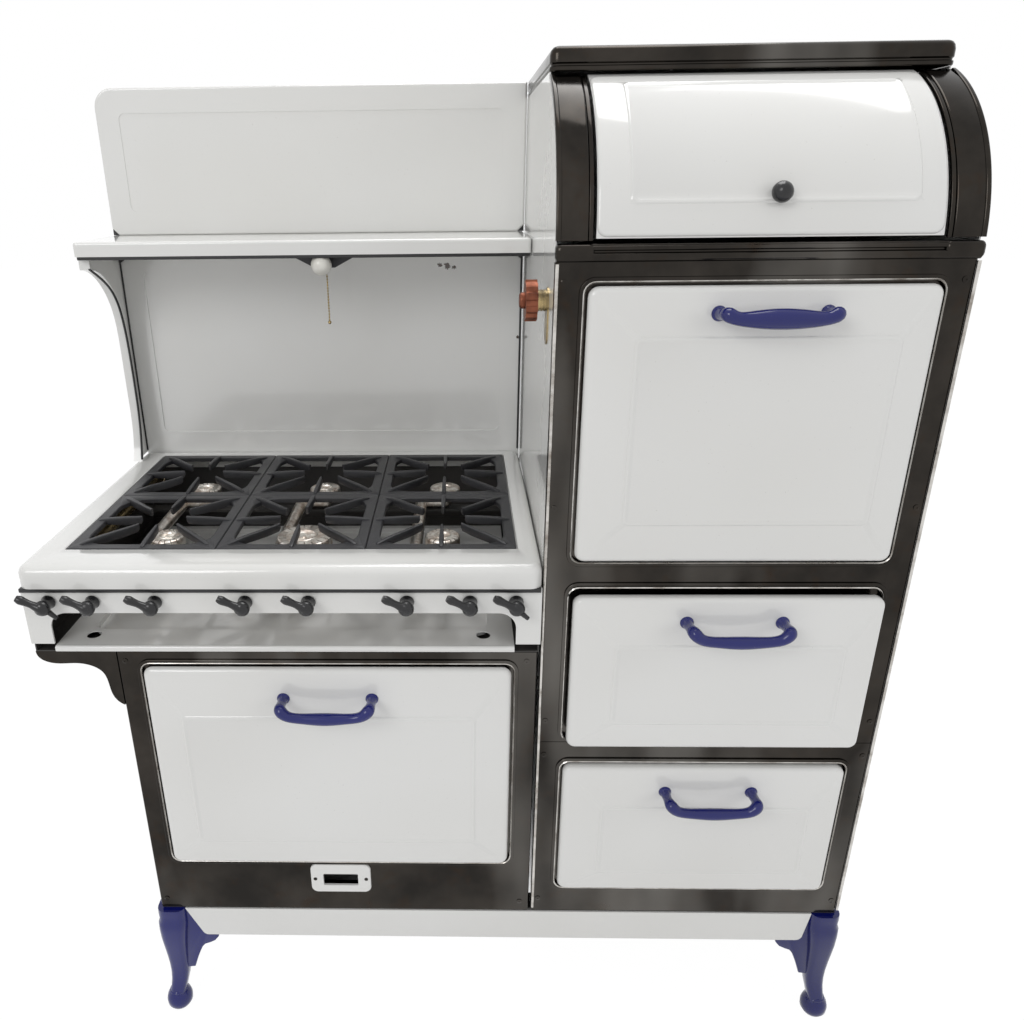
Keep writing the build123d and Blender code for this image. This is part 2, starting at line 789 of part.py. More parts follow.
def burners(row):
    """The three burners of one row: 0 at the front, 1 at the rear."""
    cy = grate_centres()[row]
    solids = []
    for index in range(3):
        x0, x1 = grate_bounds(index)
        radius = big_burner_radius if (row == 0 and index == 1) else burner_radius
        solids.append(burner((x0 + x1) / 2, cy, radius, row == 1))
    return solids


def burner_box():
    """Sheet box under the cooktop, open at the front for the tray, with two cross rails for the burners."""
    x0 = left_edge + 1
    x1 = -2.0
    y0 = 0.0
    y1 = splash_front
    z0 = oven_frame_top + 1
    z1 = cooktop_height - cooktop_skirt
    box = block(x0, x1, y0, y1, z0, z1)
    box -= block(x0 + wall, x1 - wall, y0 - 1, y1 - wall, z0 + wall, z1 + 1)
    rail_top = valve_height - throat_radius
    for cy in grate_centres():
        rail = block(x0 + wall / 2, x1 - wall / 2, cy - rail_width / 2, cy + rail_width / 2,
                     rail_top - rail_thickness,
                     rail_top)
        box += rail - rod_y(inlet_x(), cy - rail_width, cy + rail_width, valve_height,
                            supply_radius + seat_gap)
    return box - rod_y(inlet_x(), y1 - 10, y1 + 10, valve_height, supply_radius + 2)


def inlet_x():
    """X of the gas pipe's run to the back."""
    return left_edge + 22


def valve_panel():
    """Enamelled panel behind the valve levers, with a cheek at each end beside the tray."""
    x0 = left_edge
    x1 = -1.0
    y0 = -panel_proud
    top = cooktop_height - cooktop_skirt - 2
    panel = block(x0, x1, y0, y0 + panel_sheet, cheek_bottom, top)
    gap = block(x0 + cheek_width, x1 - cheek_width, y0 - 1, y0 + panel_sheet + 1, cheek_bottom - 30,
                panel_bottom)
    gap = fillet(gap.edges().filter_by(Axis.Y).sort_by(Axis.Z)[-2:], cheek_round)
    panel -= gap
    panel = fillet(panel.edges().filter_by(Axis.Z).group_by(Axis.X)[0].sort_by(Axis.Y)[:1], 2.5)
    flange = block(x0 + cheek_width + cheek_round, x1 - cheek_width - cheek_round,
                   y0 + panel_sheet - 0.5, y0 + 12,
                   panel_bottom, panel_bottom + 2)
    panel += flange
    for x in (x0 + 1, x1 - 3):
        panel += block(x, x + 2, y0 + panel_sheet - 0.5, 0, cheek_bottom, top)
    for x in valve_places:
        panel -= rod_y(x, y0 - 1, y0 + panel_sheet + 1, valve_height, stem_radius + 2.5)
    return panel


def manifold_pipe():
    """Straight pipe along the front that the gas valves sit on."""
    return rod_x(inlet_x() + 2, -14.0, pipe_y, valve_height, pipe_radius)


def supply_pipe():
    """Pipe from the elbow to the back, with a coupling and an open nipple as the gas inlet."""
    x = inlet_x()
    face = body_depth + inlet_stand_off
    y_end = face + inlet_length
    pipe = rod_y(x, pipe_y + pipe_radius + 2, face, valve_height, supply_radius)
    pipe += rod_y(x, face - coupling_length, face, valve_height, elbow_radius)
    pipe += rod_y(x, face - 1, y_end, valve_height, pipe_radius)
    pipe -= rod_y(x, face - 40, y_end + 1, valve_height, supply_radius - pipe_wall)
    return pipe - rod_y(x, face, y_end + 1, valve_height, pipe_radius - pipe_wall)


def gas_elbow():
    """Cast elbow that joins the two pipes."""
    x = inlet_x()
    elbow = Pos(x, pipe_y, valve_height) * Sphere(elbow_radius)
    elbow += rod_y(x, pipe_y, pipe_y + elbow_reach, valve_height, elbow_radius)
    return elbow - manifold_pipe() - supply_pipe()


def valves(pipe):
    """Gas valves: a plug body that sits on the pipe's front, with a bore for the lever's stem."""
    solids = []
    for x in valve_places:
        body = rod_y(x, 2, pipe_y, valve_height, valve_radius)
        body += rod_y(x, 8, 16, valve_height, valve_radius + 2.5)
        body -= rod_y(x, 1, 16, valve_height, stem_radius + running_gap)
        solids.append(body - pipe)
    return solids


def lever(x):
    """Valve lever: stem, hub and a tapered blade that points up and to the left."""
    out = -panel_proud - lever_out
    solid = rod_y(x, out, 14, valve_height, stem_radius)
    hub = rod_y(x, out - 4, -panel_proud - 3, valve_height, 8.5)
    hub = fillet(hub.edges().filter_by(GeomType.CIRCLE).sort_by(Axis.Y)[:1], 3)
    solid += hub
    a = radians(180 - lever_rise)
    tip_x = x + lever_length * cos(a)
    tip_z = valve_height + lever_length * sin(a)
    blade = rod_y(x, out - 4, out + 5, valve_height, 6.5)
    blade += rod_y(tip_x, out - 7, out + 3, tip_z, 5.5)
    middle = Pos((x + tip_x) / 2, out - 1, (valve_height + tip_z) / 2) * Rot(0, lever_rise, 0) * Box(
        lever_length, 8, 9)
    return solid + blade + middle


def drip_tray():
    """Enamelled tray with a rolled front edge, two finger holes and a shallow basin."""
    x0 = left_edge + cheek_width + 2
    x1 = -1 - cheek_width - 2
    y0 = tray_front
    y1 = tray_front + tray_depth
    top = tray_top
    bottom = oven_frame_top + 1 + wall + 0.2
    deck = block(x0, x1, y0, y1, top - tray_sheet, top)
    lip = block(x0, x1, y0, y0 + 8, top - tray_lip, top)
    deck += lip
    deck = fillet(deck.edges().filter_by(Axis.X).sort_by(Axis.Y)[:2], 3.5)
    basin_outer = block(x0 + tray_margin, x1 - tray_margin, y0 + tray_margin + 16, y1 - 12,
                        top - tray_basin, top)
    basin_inner = block(x0 + tray_margin + wall, x1 - tray_margin - wall, y0 + tray_margin + 16 + wall,
                        y1 - 12 - wall, top - tray_basin + tray_sheet, top + 1)
    basin_outer = fillet(basin_outer.edges().filter_by(Axis.Z), 22)
    basin_inner = fillet(basin_inner.edges().filter_by(Axis.Z), 20)
    deck = deck + basin_outer - basin_inner
    for x in (x0 + 46, x1 - 46):
        deck -= rod_z(x, y0 + 36, top - 12, top + 1, tray_hole)
    for x in (x0 + 1, x1 - 3):
        deck += block(x, x + 2, y0 + 20, y1, bottom, top - 0.5)
    return deck


# High back

def backsplash():
    """Splash panel behind the cooktop with a recessed field."""
    x0 = left_edge + bracket_thickness + 0.5
    x1 = -1.0
    z0 = cooktop_height - cooktop_skirt
    z1 = shelf_height - shelf_thickness
    panel = block(x0, x1, splash_front, splash_front + back_panel_thickness, z0, z1)
    panel -= front_plate(x0 + splash_margin, x1 - splash_margin, cooktop_height + splash_margin,
                         z1 - splash_margin, splash_front - 1, splash_front + emboss_depth * 2, 12)
    panel -= block(x0 + wall, x1 - wall, splash_front + 5, splash_front + back_panel_thickness + 1,
                   z0 + wall,
                   z1 - wall)
    return panel


def upper_back_panel():
    """Panel above the shelf with a rounded top corner and clipped bottom corners."""
    x0 = left_edge
    x1 = -1.0
    z0 = shelf_height
    z1 = panel_top
    panel = block(x0, x1, splash_front, splash_front + back_panel_thickness, z0, z1)
    top_left = panel.edges().filter_by(Axis.Y).group_by(Axis.X)[0].sort_by(Axis.Z)[-1:]
    panel = fillet(top_left, 34)
    corners = panel.edges().filter_by(Axis.Y).sort_by(Axis.Z)[:2]
    panel = chamfer(corners, 12)
    panel = fillet(panel.faces().sort_by(Axis.Y)[0].outer_wire().edges(), 4)
    panel -= front_plate(x0 + splash_margin, x1 - splash_margin, z0 + splash_margin, z1 - splash_margin,
                         splash_front - 1, splash_front + emboss_depth, 10)
    panel -= front_plate(x0 + 8, x1 - 8, z0 + 14, z1 - 8, splash_front + 6,
                         splash_front + back_panel_thickness + 1,
                         26)
    return panel


def high_shelf():
    """Warming shelf: a hollow pressed shelf with rounded front corners."""
    x0 = left_edge
    x1 = -1.0
    z1 = shelf_height
    z0 = z1 - shelf_thickness
    back = splash_front + back_panel_thickness
    shelf = block(x0, x1, shelf_front, back, z0, z1)
    shelf = fillet(shelf.edges().filter_by(Axis.Z).sort_by(Axis.Y)[:2], 6)
    shelf = fillet([e for e in shelf.faces().sort_by(Axis.Z)[-1].outer_wire().edges() if e.center().Y < back - 1], 5)
    return shelf - block(x0 + 6, x1 - 6, shelf_front + 6, back - 6, z0 - 1, z1 - 3)


def shelf_bracket():
    """Curved side panel that carries the shelf's left end, with a flange along its front edge."""
    x0 = left_edge
    top = shelf_height - shelf_thickness
    back = splash_front + back_panel_thickness
    front_top = shelf_front + 16
    outline = [
        Line((x0, back, cooktop_height), (x0, 476, cooktop_height)),
        Spline([(x0, 476, cooktop_height), (x0, 495, cooktop_height + 56), (x0, 497.5,
                                                                            cooktop_height + 140),
                (x0, 496.5, cooktop_height + 220), (x0, 487, cooktop_height + 293),
                (x0, 456, cooktop_height + 342), (x0, front_top, cooktop_height + 381)]),
        Line((x0, front_top, cooktop_height + 381), (x0, front_top, top)),
        Line((x0, front_top, top), (x0, back, top)),
        Line((x0, back, top), (x0, back, cooktop_height)),
    ]
    sheet = extrude(make_face(outline), bracket_thickness, dir=(1, 0, 0))
    wide = extrude(make_face(outline), bracket_flange, dir=(1, 0, 0))
    behind = Pos(0, 4, 0) * extrude(make_face(outline), bracket_flange + 2, dir=(1, 0, 0))
    flange = wide - behind - block(x0 - 1, x0 + bracket_flange + 1, splash_front - 2, back + 10,
                                   cooktop_height - 1,
                                   top + 1)
    return sheet + flange


def lamp_bracket():
    """Triangular bracket and socket under the shelf."""
    top = shelf_height - shelf_thickness
    half = lamp_width / 2
    points = [(lamp_x - half, top), (lamp_x + half, top), (lamp_x + 18, top - lamp_drop),
              (lamp_x - 18, top - lamp_drop)]
    y0 = lamp_y + 20
    plate = extrude(make_face(Polyline(*[(x, y0, z) for x, z in points], close=True)), 3, dir=(0, 1, 0))
    shade_points = [(lamp_x - half, lamp_y - 26, top), (lamp_x + half, lamp_y - 26, top),
                    (lamp_x + half, y0 + 3, top), (lamp_x - half, y0 + 3, top)]
    plate += extrude(make_face(Polyline(*shade_points, close=True)), 2, dir=(0, 0, -1))
    plate += rod_y(lamp_x, lamp_y + 6, y0 + 1, lamp_z(), socket_radius)
    return plate - rod_y(lamp_x, lamp_y + 5, lamp_y + 12, lamp_z(), bulb_neck + seat_gap)


def lamp_z():
    """Height of the lamp bulb's axis."""
    return shelf_height - shelf_thickness - socket_radius


def lamp_bulb():
    """Frosted bulb that lies along Y with its neck in the socket."""
    ball = Pos(lamp_x, lamp_y - 16, lamp_z() - 4) * Sphere(bulb_radius * 0.86)
    above = block(lamp_x - 40, lamp_x + 40, lamp_y - 60, lamp_y + 30, lamp_z() + 11.5, lamp_z() + 60)
    neck = rod_y(lamp_x, lamp_y - 14, lamp_y + 11, lamp_z(), bulb_neck)
    return ball - above + neck


def pull_chain():
    """Beaded pull chain with a small drop at its end, taken as straight."""
    x = lamp_x + chain_offset
    y = lamp_y + 14
    z1 = lamp_z() - (socket_radius ** 2 - (chain_offset - chain_wire) ** 2) ** 0.5 - running_gap
    chain = rod_z(x, y, z1 - chain_length, z1, chain_wire)
    count = round(chain_length / 5)
    for i in range(count):
        chain += Pos(x, y, z1 - 2.5 - i * 5) * Sphere(chain_bead)
    return chain + Pos(x, y, z1 - chain_length) * Sphere(3.2)


def corbel():
    """Cast corbel at the left, between the body's frame and the overhanging cooktop."""
    top = oven_frame_top + 1
    y0 = 0.0
    x_in = body_left
    pts = [
        Line((left_edge, y0, top), (x_in - seat_gap, y0, top)),
        Line((x_in - seat_gap, y0, top), (x_in - seat_gap, y0, top - 98)),
        Spline([(x_in - seat_gap, y0, top - 98), (x_in - 17, y0, top - 78), (x_in - 26, y0, top - 38),
                (x_in - 58, y0, top - 22), (left_edge + 22, y0, top - 21), (left_edge + 4, y0, top - 12),
                (left_edge, y0, top)]),
    ]
    return extrude(make_face(pts), casting, dir=(0, 1, 0))


# Tower drawers

def drawer_front(z0, z1, out):
    """Pressed drawer front."""
    x0 = tower_opening_left + door_gap
    x1 = tower_opening_left + tower_opening_width - door_gap
    return Pos(0, -out, 0) * door_panel(x0, x1, z0, z1, False)


def drawer_pan(z0, z1, out, opening_bottom, opening_height):
    """Sheet drawer behind a front, open at the top."""
    x0 = tower_opening_left + lip_width + drawer_side_clearance
    x1 = tower_opening_left + tower_opening_width - lip_width - drawer_side_clearance
    bottom = opening_bottom + lip_width + 4
    top = min(z1 - drawer_box_rim, opening_bottom + opening_height - lip_width - 6)
    y0 = -door_proud + emboss_depth + wall
    y1 = y0 + drawer_box_depth
    pan = block(x0, x1, y0, y1, bottom, top)
    pan -= block(x0 + wall, x1 - wall, y0 + wall, y1 - wall, bottom + wall, top + 1)
    return Pos(0, -out, 0) * pan


def drawer_runners():
    """Angle runners on the tower's sides that carry both drawers."""
    runners = []
    for opening_bottom in (middle_opening_bottom + bead_width, lower_opening_bottom):
        top = opening_bottom + lip_width + 4 - 0.2
        x_in = tower_opening_left + lip_width + drawer_side_clearance + 14
        for side in (0, 1):
            x0, x1 = (wall, x_in) if side == 0 else (2 * tower_opening_left + tower_opening_width - x_in,
                                                    tower_width - wall)
            foot_x0, foot_x1 = (wall, wall + 2) if side == 0 else (tower_width - wall - 2,
                                                                   tower_width - wall)
            shelf = block(x0, x1, casting, body_depth - 60, top - 2, top)
            shelf += block(foot_x0, foot_x1, casting, body_depth - 60, top - runner_height, top)
            runners.append(shelf)
    return runners


# Regulator

def regulator_body():
    """Oven regulator on the tower's left side: an oval plate, a collar and a bored sleeve."""
    plate = Pos(-1.5, regulator_y + 6, regulator_z - 22) * Rot(0, 90, 0) * extrude(
        SlotOverall(78, 30), 1.5)
    collar = rod_x(-collar_length, 0, regulator_y, regulator_z, collar_radius)
    for i in range(3):
        x = -collar_length + 3.2 + i * 4.2
        groove = rod_x(x, x + 1.4, regulator_y, regulator_z, collar_radius + 1)
        groove -= rod_x(x - 1, x + 3, regulator_y, regulator_z, collar_radius - 1.2)
        collar -= groove
    solid = plate + collar
    return solid - rod_x(-collar_length - 1, -2, regulator_y, regulator_z, stem_radius + running_gap)


def regulator_wheel():
    """Scalloped wheel with a domed hub and a stem in the regulator's collar."""
    x1 = -collar_length - 0.6
    x0 = x1 - wheel_thickness
    wheel = rod_x(x0 + 4, x1, regulator_y, regulator_z, wheel_radius)
    for i in range(wheel_lobes):
        a = radians(360 * i / wheel_lobes)
        y = regulator_y + (wheel_radius + 3.4) * cos(a)
        z = regulator_z + (wheel_radius + 3.4) * sin(a)
        wheel -= rod_x(x0 - 1, x1 + 1, y, z, 6)
    hub = rod_x(x0 - 4, x0 + 5, regulator_y, regulator_z, 11)
    hub = fillet(hub.edges().filter_by(GeomType.CIRCLE).sort_by(Axis.X)[:1], 4)
    wheel += hub
    return wheel + rod_x(x1 - 1, -3, regulator_y, regulator_z, stem_radius)


def bezel():
    """Lighting port bezel on the left frame, with a slot through it."""
    plate = front_plate(-381, -277, 283, 344, -4, 0, 12)
    plate = fillet(plate.faces().sort_by(Axis.Y)[0].outer_wire().edges(), 2.5)
    slot = bezel_slot()
    return plate - front_plate(slot[0], slot[1], slot[2], slot[3], -6, 2, 2)


def bezel_slot():
    """Slot through the bezel and the frame: x0, x1, z0, z1."""
    return -359.0, -299.0, 299.0, 324.0


def left_frame():
    """Cast front frame of the left body, with the oven opening and the lighting slot."""
    ox0 = oven_opening_left
    ox1 = oven_opening_left + oven_opening_width
    oz0 = oven_opening_bottom
    oz1 = oven_opening_bottom + oven_opening_height
    frame = frame_with_openings(body_left, -oven_frame_gap, base_height, oven_frame_top,
                                [(ox0, ox1, oz0, oz1, True)], 3)
    slot = bezel_slot()
    return frame - front_plate(slot[0], slot[1], slot[2], slot[3], -6, casting + 2, 2)


def tower_upper_frame():
    """Upper front frame of the tower, round the oven door and the middle drawer."""
    x0 = tower_opening_left
    x1 = tower_opening_left + tower_opening_width
    return frame_with_openings(
        0, tower_width, tower_joint + 1, tower_frame_top,
        [(x0, x1, upper_opening_bottom, upper_opening_bottom + upper_opening_height, True),
         (x0, x1, middle_opening_bottom + bead_width, middle_opening_bottom + middle_opening_height,
          False)], 6)


def tower_lower_frame():
    """Lower front casting of the tower, round the lower drawer."""
    x0 = tower_opening_left
    x1 = tower_opening_left + tower_opening_width
    return frame_with_openings(
        0, tower_width, base_height, tower_joint,
        [(x0, x1, lower_opening_bottom, lower_opening_bottom + lower_opening_height, False)], 6)


# Assembly

def hinged_door(name, x0, x1, opening_bottom, opening_height, handle_drop_from_top, handle_x):
    """A drop door in its opening: panel, back plate and handle."""
    left = x0 + door_gap
    right = x1 - door_gap
    bottom = opening_bottom + door_gap
    top = opening_bottom + opening_height - door_gap
    save(f"{name}_door", door_panel(left, right, bottom, top, True))
    save(f"{name}_door_back", door_back(left, right, bottom, top))
    save(f"{name}_door_handle", handle(handle_x, top - handle_drop_from_top, -door_proud))


def build_base():
    save("legs", Compound([leg(side, end) for side in (-1, 1) for end in (-1, 1)]))
    save("base_ring", base_ring())
    save("base_skirt", base_skirt())


def build_left_body():
    x0 = oven_opening_left
    x1 = oven_opening_left + oven_opening_width
    save("left_frame", left_frame())
    save("left_casing", left_casing())
    liner_x0 = x0 + lip_width - wall
    liner_x1 = x1 - lip_width + wall
    liner_z0 = oven_opening_bottom + lip_width - wall
    save("left_oven_liner", oven_liner(liner_x0, liner_x1, liner_z0,
                                       liner_z0 + lower_cavity_height + 2 * wall))
    save("lighting_port_bezel", bezel())
    save("corbel_bracket", corbel())
    hinged_door("left_oven", x0, x1, oven_opening_bottom, oven_opening_height, oven_handle_drop,
                (x0 + x1) / 2)


def build_tower():
    x0 = tower_opening_left
    x1 = tower_opening_left + tower_opening_width
    liner_x0 = x0 + lip_width - wall
    liner_x1 = x1 - lip_width + wall
    liner_z0 = upper_opening_bottom + lip_width - wall
    save("tower_upper_frame", tower_upper_frame())
    save("tower_lower_frame", tower_lower_frame())
    save("tower_sides", Compound(tower_sides()))
    save("tower_back", Compound([tower_back(), flue_collar()]))
    save("upper_oven_liner", oven_liner(liner_x0, liner_x1, liner_z0,
                                        liner_z0 + upper_cavity_height + 2 * wall))
    lower_liner_z0 = oven_opening_bottom + lip_width - wall
    save("oven_racks", Compound([
        oven_rack(liner_x0, liner_x1, liner_z0),
        oven_rack(oven_opening_left + lip_width - wall,
                  oven_opening_left + oven_opening_width - lip_width + wall,
                  lower_liner_z0),
    ]))
    left_x0 = oven_opening_left + lip_width
    left_x1 = oven_opening_left + oven_opening_width - lip_width
    lower_burner_z = oven_opening_bottom - 40
    save("oven_burners", Compound([
        oven_burner(left_x0, left_x1, lower_burner_z, lower_liner_z0),
        oven_burner(liner_x0 - 30, liner_x1 + 30, upper_opening_bottom - 15, liner_z0),
    ]))
    save("drawer_runners", Compound(drawer_runners()))
    hinged_door("upper_oven", x0, x1, upper_opening_bottom, upper_opening_height, upper_handle_drop,
                (x0 + x1) / 2 + 12)
    middle_bottom = middle_opening_bottom + door_gap
    middle_top = middle_bottom + middle_front_height
    save("middle_drawer_front", drawer_front(middle_bottom, middle_top, middle_drawer_out))
    save("middle_drawer_pan", drawer_pan(middle_bottom, middle_top, middle_drawer_out,
                                         middle_opening_bottom
                                         + bead_width, middle_opening_height - bead_width))
    save("middle_drawer_handle", handle((x0 + x1) / 2 + 10, middle_top - drawer_handle_drop,
                                        -door_proud - middle_drawer_out))
    lower_bottom = lower_opening_bottom + door_gap
    lower_top = lower_opening_bottom + lower_opening_height - door_gap
    save("lower_drawer_front", drawer_front(lower_bottom, lower_top, 0))
    save("lower_drawer_pan", drawer_pan(lower_bottom, lower_top, 0, lower_opening_bottom,
                                        lower_opening_height))
    save("lower_drawer_handle", handle((x0 + x1) / 2 + 10, lower_top - lower_handle_drop, -door_proud))


def build_closet():
    save("closet_floor", block(wall, tower_width - wall, casting, body_depth - wall, closet_floor,
                               closet_floor + wall + 1))
    save("tower_moulding", tower_moulding())
    save("arc_trims", Compound(arc_trims()))
    save("top_cap", top_cap())
    save("roll_top_door", roll_top_door())
    save("roll_top_knob", roll_top_knob())
    save("regulator_body", regulator_body())
    save("regulator_wheel", regulator_wheel())


def build_cooktop():
    save("cooktop", cooktop())
    save("burner_box", burner_box())
    save("valve_panel", valve_panel())
    pipe = manifold_pipe()
    elbow = gas_elbow()
    save("gas_manifold", Compound([pipe, elbow, supply_pipe()] + valves(pipe + elbow)))
    save("drip_tray", drip_tray())
    for index, name in enumerate(("left", "centre", "right")):
        save(f"grate_{name}", grate(index))
    save("burners", Compound(burners(0) + burners(1)))
    for index, x in enumerate(valve_places):
        save(f"valve_lever_{index + 1}", lever(x))


def build_back():
    save("backsplash", backsplash())
    save("upper_back_panel", upper_back_panel())
    save("high_shelf", high_shelf())
    save("shelf_bracket", shelf_bracket())
    save("lamp_bracket", lamp_bracket())
    save("lamp_bulb", lamp_bulb())
    save("pull_chain", pull_chain())


build_base()
build_left_body()
build_tower()
build_closet()
build_cooktop()
build_back()
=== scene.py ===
"""Dresses the cabinet gas range: porcelain panels, nickel castings, cobalt handles and legs, iron grates."""
import json
from math import cos, pi, radians, sin

import bmesh
import bpy
from mathutils import Matrix, Vector


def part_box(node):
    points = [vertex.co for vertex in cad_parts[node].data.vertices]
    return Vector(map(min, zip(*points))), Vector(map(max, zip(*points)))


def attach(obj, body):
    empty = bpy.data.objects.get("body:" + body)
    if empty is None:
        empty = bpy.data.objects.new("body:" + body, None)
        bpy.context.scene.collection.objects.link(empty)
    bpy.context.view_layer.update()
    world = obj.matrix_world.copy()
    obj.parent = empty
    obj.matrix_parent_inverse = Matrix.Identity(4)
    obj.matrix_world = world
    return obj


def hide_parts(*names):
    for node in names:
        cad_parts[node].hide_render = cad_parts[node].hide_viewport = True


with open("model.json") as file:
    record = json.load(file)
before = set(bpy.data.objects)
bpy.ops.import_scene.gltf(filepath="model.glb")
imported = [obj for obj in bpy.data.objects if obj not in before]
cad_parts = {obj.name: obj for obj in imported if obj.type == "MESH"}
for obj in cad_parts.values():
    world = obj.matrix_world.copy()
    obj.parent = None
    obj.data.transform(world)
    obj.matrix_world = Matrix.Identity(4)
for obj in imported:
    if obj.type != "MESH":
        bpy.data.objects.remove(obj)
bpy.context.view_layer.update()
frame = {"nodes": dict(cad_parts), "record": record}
nodes = frame["nodes"]
root = "range_body"

# The model's own places, in metres: the tower's left face and the frames' front face
casting_thickness = 0.008
tower_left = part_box("tower_lower_frame")[0].x
frames_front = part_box("left_casing")[0].y - casting_thickness

# The stove's main lines, in millimetres from the tower's left face, the frames' front and the floor
left_edge = -777
cooktop_right = -1
cooktop_front = -14
cooktop_height = 914
splash_front = 543
shelf_underside = 1318
tower_width = 530
cap_width = 533
cap_front = 149
body_depth = 565
trim_width = 41
leg_left = -662
leg_right = 540
leg_front = -10
leg_back = 570
grate_left = -727
grate_width = 692 / 3
burner_rows = (169, 399)
burner_top = 886
lever_height = 856
valve_places = (-735.0, -668.6, -575.0, -440.0, -346.0, -200.0, -107.0, -39.0)
lamp_x = -358
lamp_y = 392
socket_radius = 14
flue_height = 1450
roll_axis_y = 240.0
roll_axis_height = 1340.0
roll_radius = 240.0
knob_x = 274
knob_angle = 17.5


# Shader arithmetic

class Wire:
    """A shader socket that can be used in Python arithmetic."""

    def __init__(self, finish, socket):
        self.finish = finish
        self.socket = socket

    def __add__(self, other):
        return self.finish.maths("ADD", self, other)

    def __mul__(self, other):
        return self.finish.maths("MULTIPLY", self, other)

    def __sub__(self, other):
        return self.finish.maths("SUBTRACT", self, other)

    def __rsub__(self, other):
        return self.finish.maths("SUBTRACT", other, self)

    def above(self, limit):
        return self.finish.maths("GREATER_THAN", self, limit)

    __radd__ = __add__
    __rmul__ = __mul__


class Finish:
    """A node material on Object coordinates."""

    def __init__(self, name):
        self.material = bpy.data.materials.new(name)
        self.material.use_nodes = True
        self.tree = self.material.node_tree
        self.tree.nodes.clear()
        self.place = self.node("ShaderNodeTexCoord", out="Object")

    def node(self, kind, settings=None, out=0, **values):
        """One node: its settings first, then values or links; i0, i1 name inputs by their place."""
        made = self.tree.nodes.new(kind)
        for key, value in (settings or {}).items():
            setattr(made, key, value)
        for key, value in values.items():
            number = key[0] == "i" and key[1:].isdigit()
            socket = made.inputs[int(key[1:])] if number else made.inputs[key.replace("_", " ")]
            if isinstance(value, Wire):
                self.tree.links.new(value.socket, socket)
            else:
                socket.default_value = value
        return Wire(self, made.outputs[out]) if made.outputs else made

    def maths(self, operation, a, b):
        return self.node("ShaderNodeMath", {"operation": operation}, i0=a, i1=b)

    def noise(self, scale, detail=3.0, rough=0.5, stretch=(1, 1, 1)):
        where = self.node("ShaderNodeMapping", Vector=self.place, Scale=stretch)
        return self.node("ShaderNodeTexNoise", Vector=where, Scale=scale, Detail=detail, Roughness=rough)

    def ramp(self, value, low, high):
        """Value mapped from low..high to 0..1 and held there."""
        return self.node("ShaderNodeMapRange", {"clamp": True}, i0=value, i1=low, i2=high, i3=0.0, i4=1.0)

    def mix(self, factor, a, b):
        a, b = [(*c, 1.0) if isinstance(c, tuple) and len(c) == 3 else c for c in (a, b)]
        return self.node("ShaderNodeMix", {"data_type": "RGBA"}, out=2, i0=factor, i6=a, i7=b)

    def bump(self, height, strength, distance=0.001):
        return self.node("ShaderNodeBump", Strength=strength, Distance=distance, Height=height)

    def surface(self, **values):
        shader = self.node("ShaderNodeBsdfPrincipled", **values)
        self.node("ShaderNodeOutputMaterial", Surface=shader)
        return self.material


def rgb(red, green, blue):
    return (red, green, blue, 1.0)


def porcelain(name, colour, shade, chips=(), coat=0.6):
    """Vitreous enamel: a faint ripple, slight yellowing, pinhead specks, and chips where they are given.

    Each chip is its place in metres and its size.
    """
    f = Finish(name)
    cloud = f.ramp(f.noise(2.2, 2.0), 0.35, 0.75)
    speck = f.noise(420.0, 1.0).above(0.79)
    tone = f.mix(cloud, colour, shade)
    tone = f.mix(speck * 0.35, tone, rgb(0.30, 0.27, 0.23))
    for x, y, z, size in chips:
        gap = f.node("ShaderNodeVectorMath", {"operation": "DISTANCE"}, out=1, i0=f.place, i1=(x, y, z))
        ragged = gap + (f.noise(240.0, 5.0, 0.7) - 0.5) * size * 3.2
        tone = f.mix(1 - ragged.above(size), tone, rgb(0.05, 0.028, 0.018))
    ripple = f.bump(f.noise(38.0, 2.0), 0.05, 0.0006)
    return f.surface(Base_Color=tone, Roughness=f.ramp(f.noise(9.0), 0.0, 1.0) * 0.10 + 0.10,
                     Coat_Weight=coat, Coat_Roughness=0.05, Normal=ripple)


def nickel_with_painted_reflections(name):
    """Nickel plate with painted reflections: a base darkened to stand for a dark room reflected in it,
    painted glints in soft streaks, cloudy patches, brown stains and fine wiping marks.
    """
    f = Finish(name)
    cloud = f.ramp(f.noise(7.0, 5.0, 0.6), 0.35, 0.7)
    stain = f.ramp(f.noise(26.0, 6.0, 0.65), 0.55, 0.75)
    # Painted reflection: the base tones are far darker than nickel, standing for a dark room seen in the
    # plate
    tone = f.mix(cloud, rgb(0.022, 0.020, 0.018), rgb(0.050, 0.044, 0.038))
    tone = f.mix(stain * 0.5, tone, rgb(0.042, 0.026, 0.016))
    # Painted glint: soft vertical streaks of a brighter tone stand for light reflected in the plate
    painted_glint = f.ramp(f.noise(2.6, 3.0, 0.55, (1.6, 1.6, 0.45)), 0.52, 0.70)
    tone = f.mix(painted_glint * 0.55, tone, rgb(0.21, 0.20, 0.185))
    wipe = f.noise(60.0, 3.0, 0.5, (1, 1, 0.06))
    rough = cloud * 0.10 + stain * 0.16 + wipe * 0.10 + 0.06
    waves = f.bump(f.noise(24.0, 3.0), 0.08, 0.0008)
    return f.surface(Base_Color=tone, Metallic=1.0, Roughness=rough, Normal=waves)


def black_iron(name, colour, rough, grain):
    """Cast iron under stove black: sandy grain and greasy sheen."""
    f = Finish(name)
    cloud = f.ramp(f.noise(14.0, 4.0), 0.3, 0.75)
    tone = f.mix(cloud, colour, rgb(colour[0] * 2.0, colour[1] * 2.0, colour[2] * 2.0))
    sand = f.bump(f.noise(700.0, 2.0) + f.noise(120.0, 3.0) * 0.6, grain, 0.0006)
    return f.surface(Base_Color=tone, Roughness=cloud * 0.18 + rough, Normal=sand)


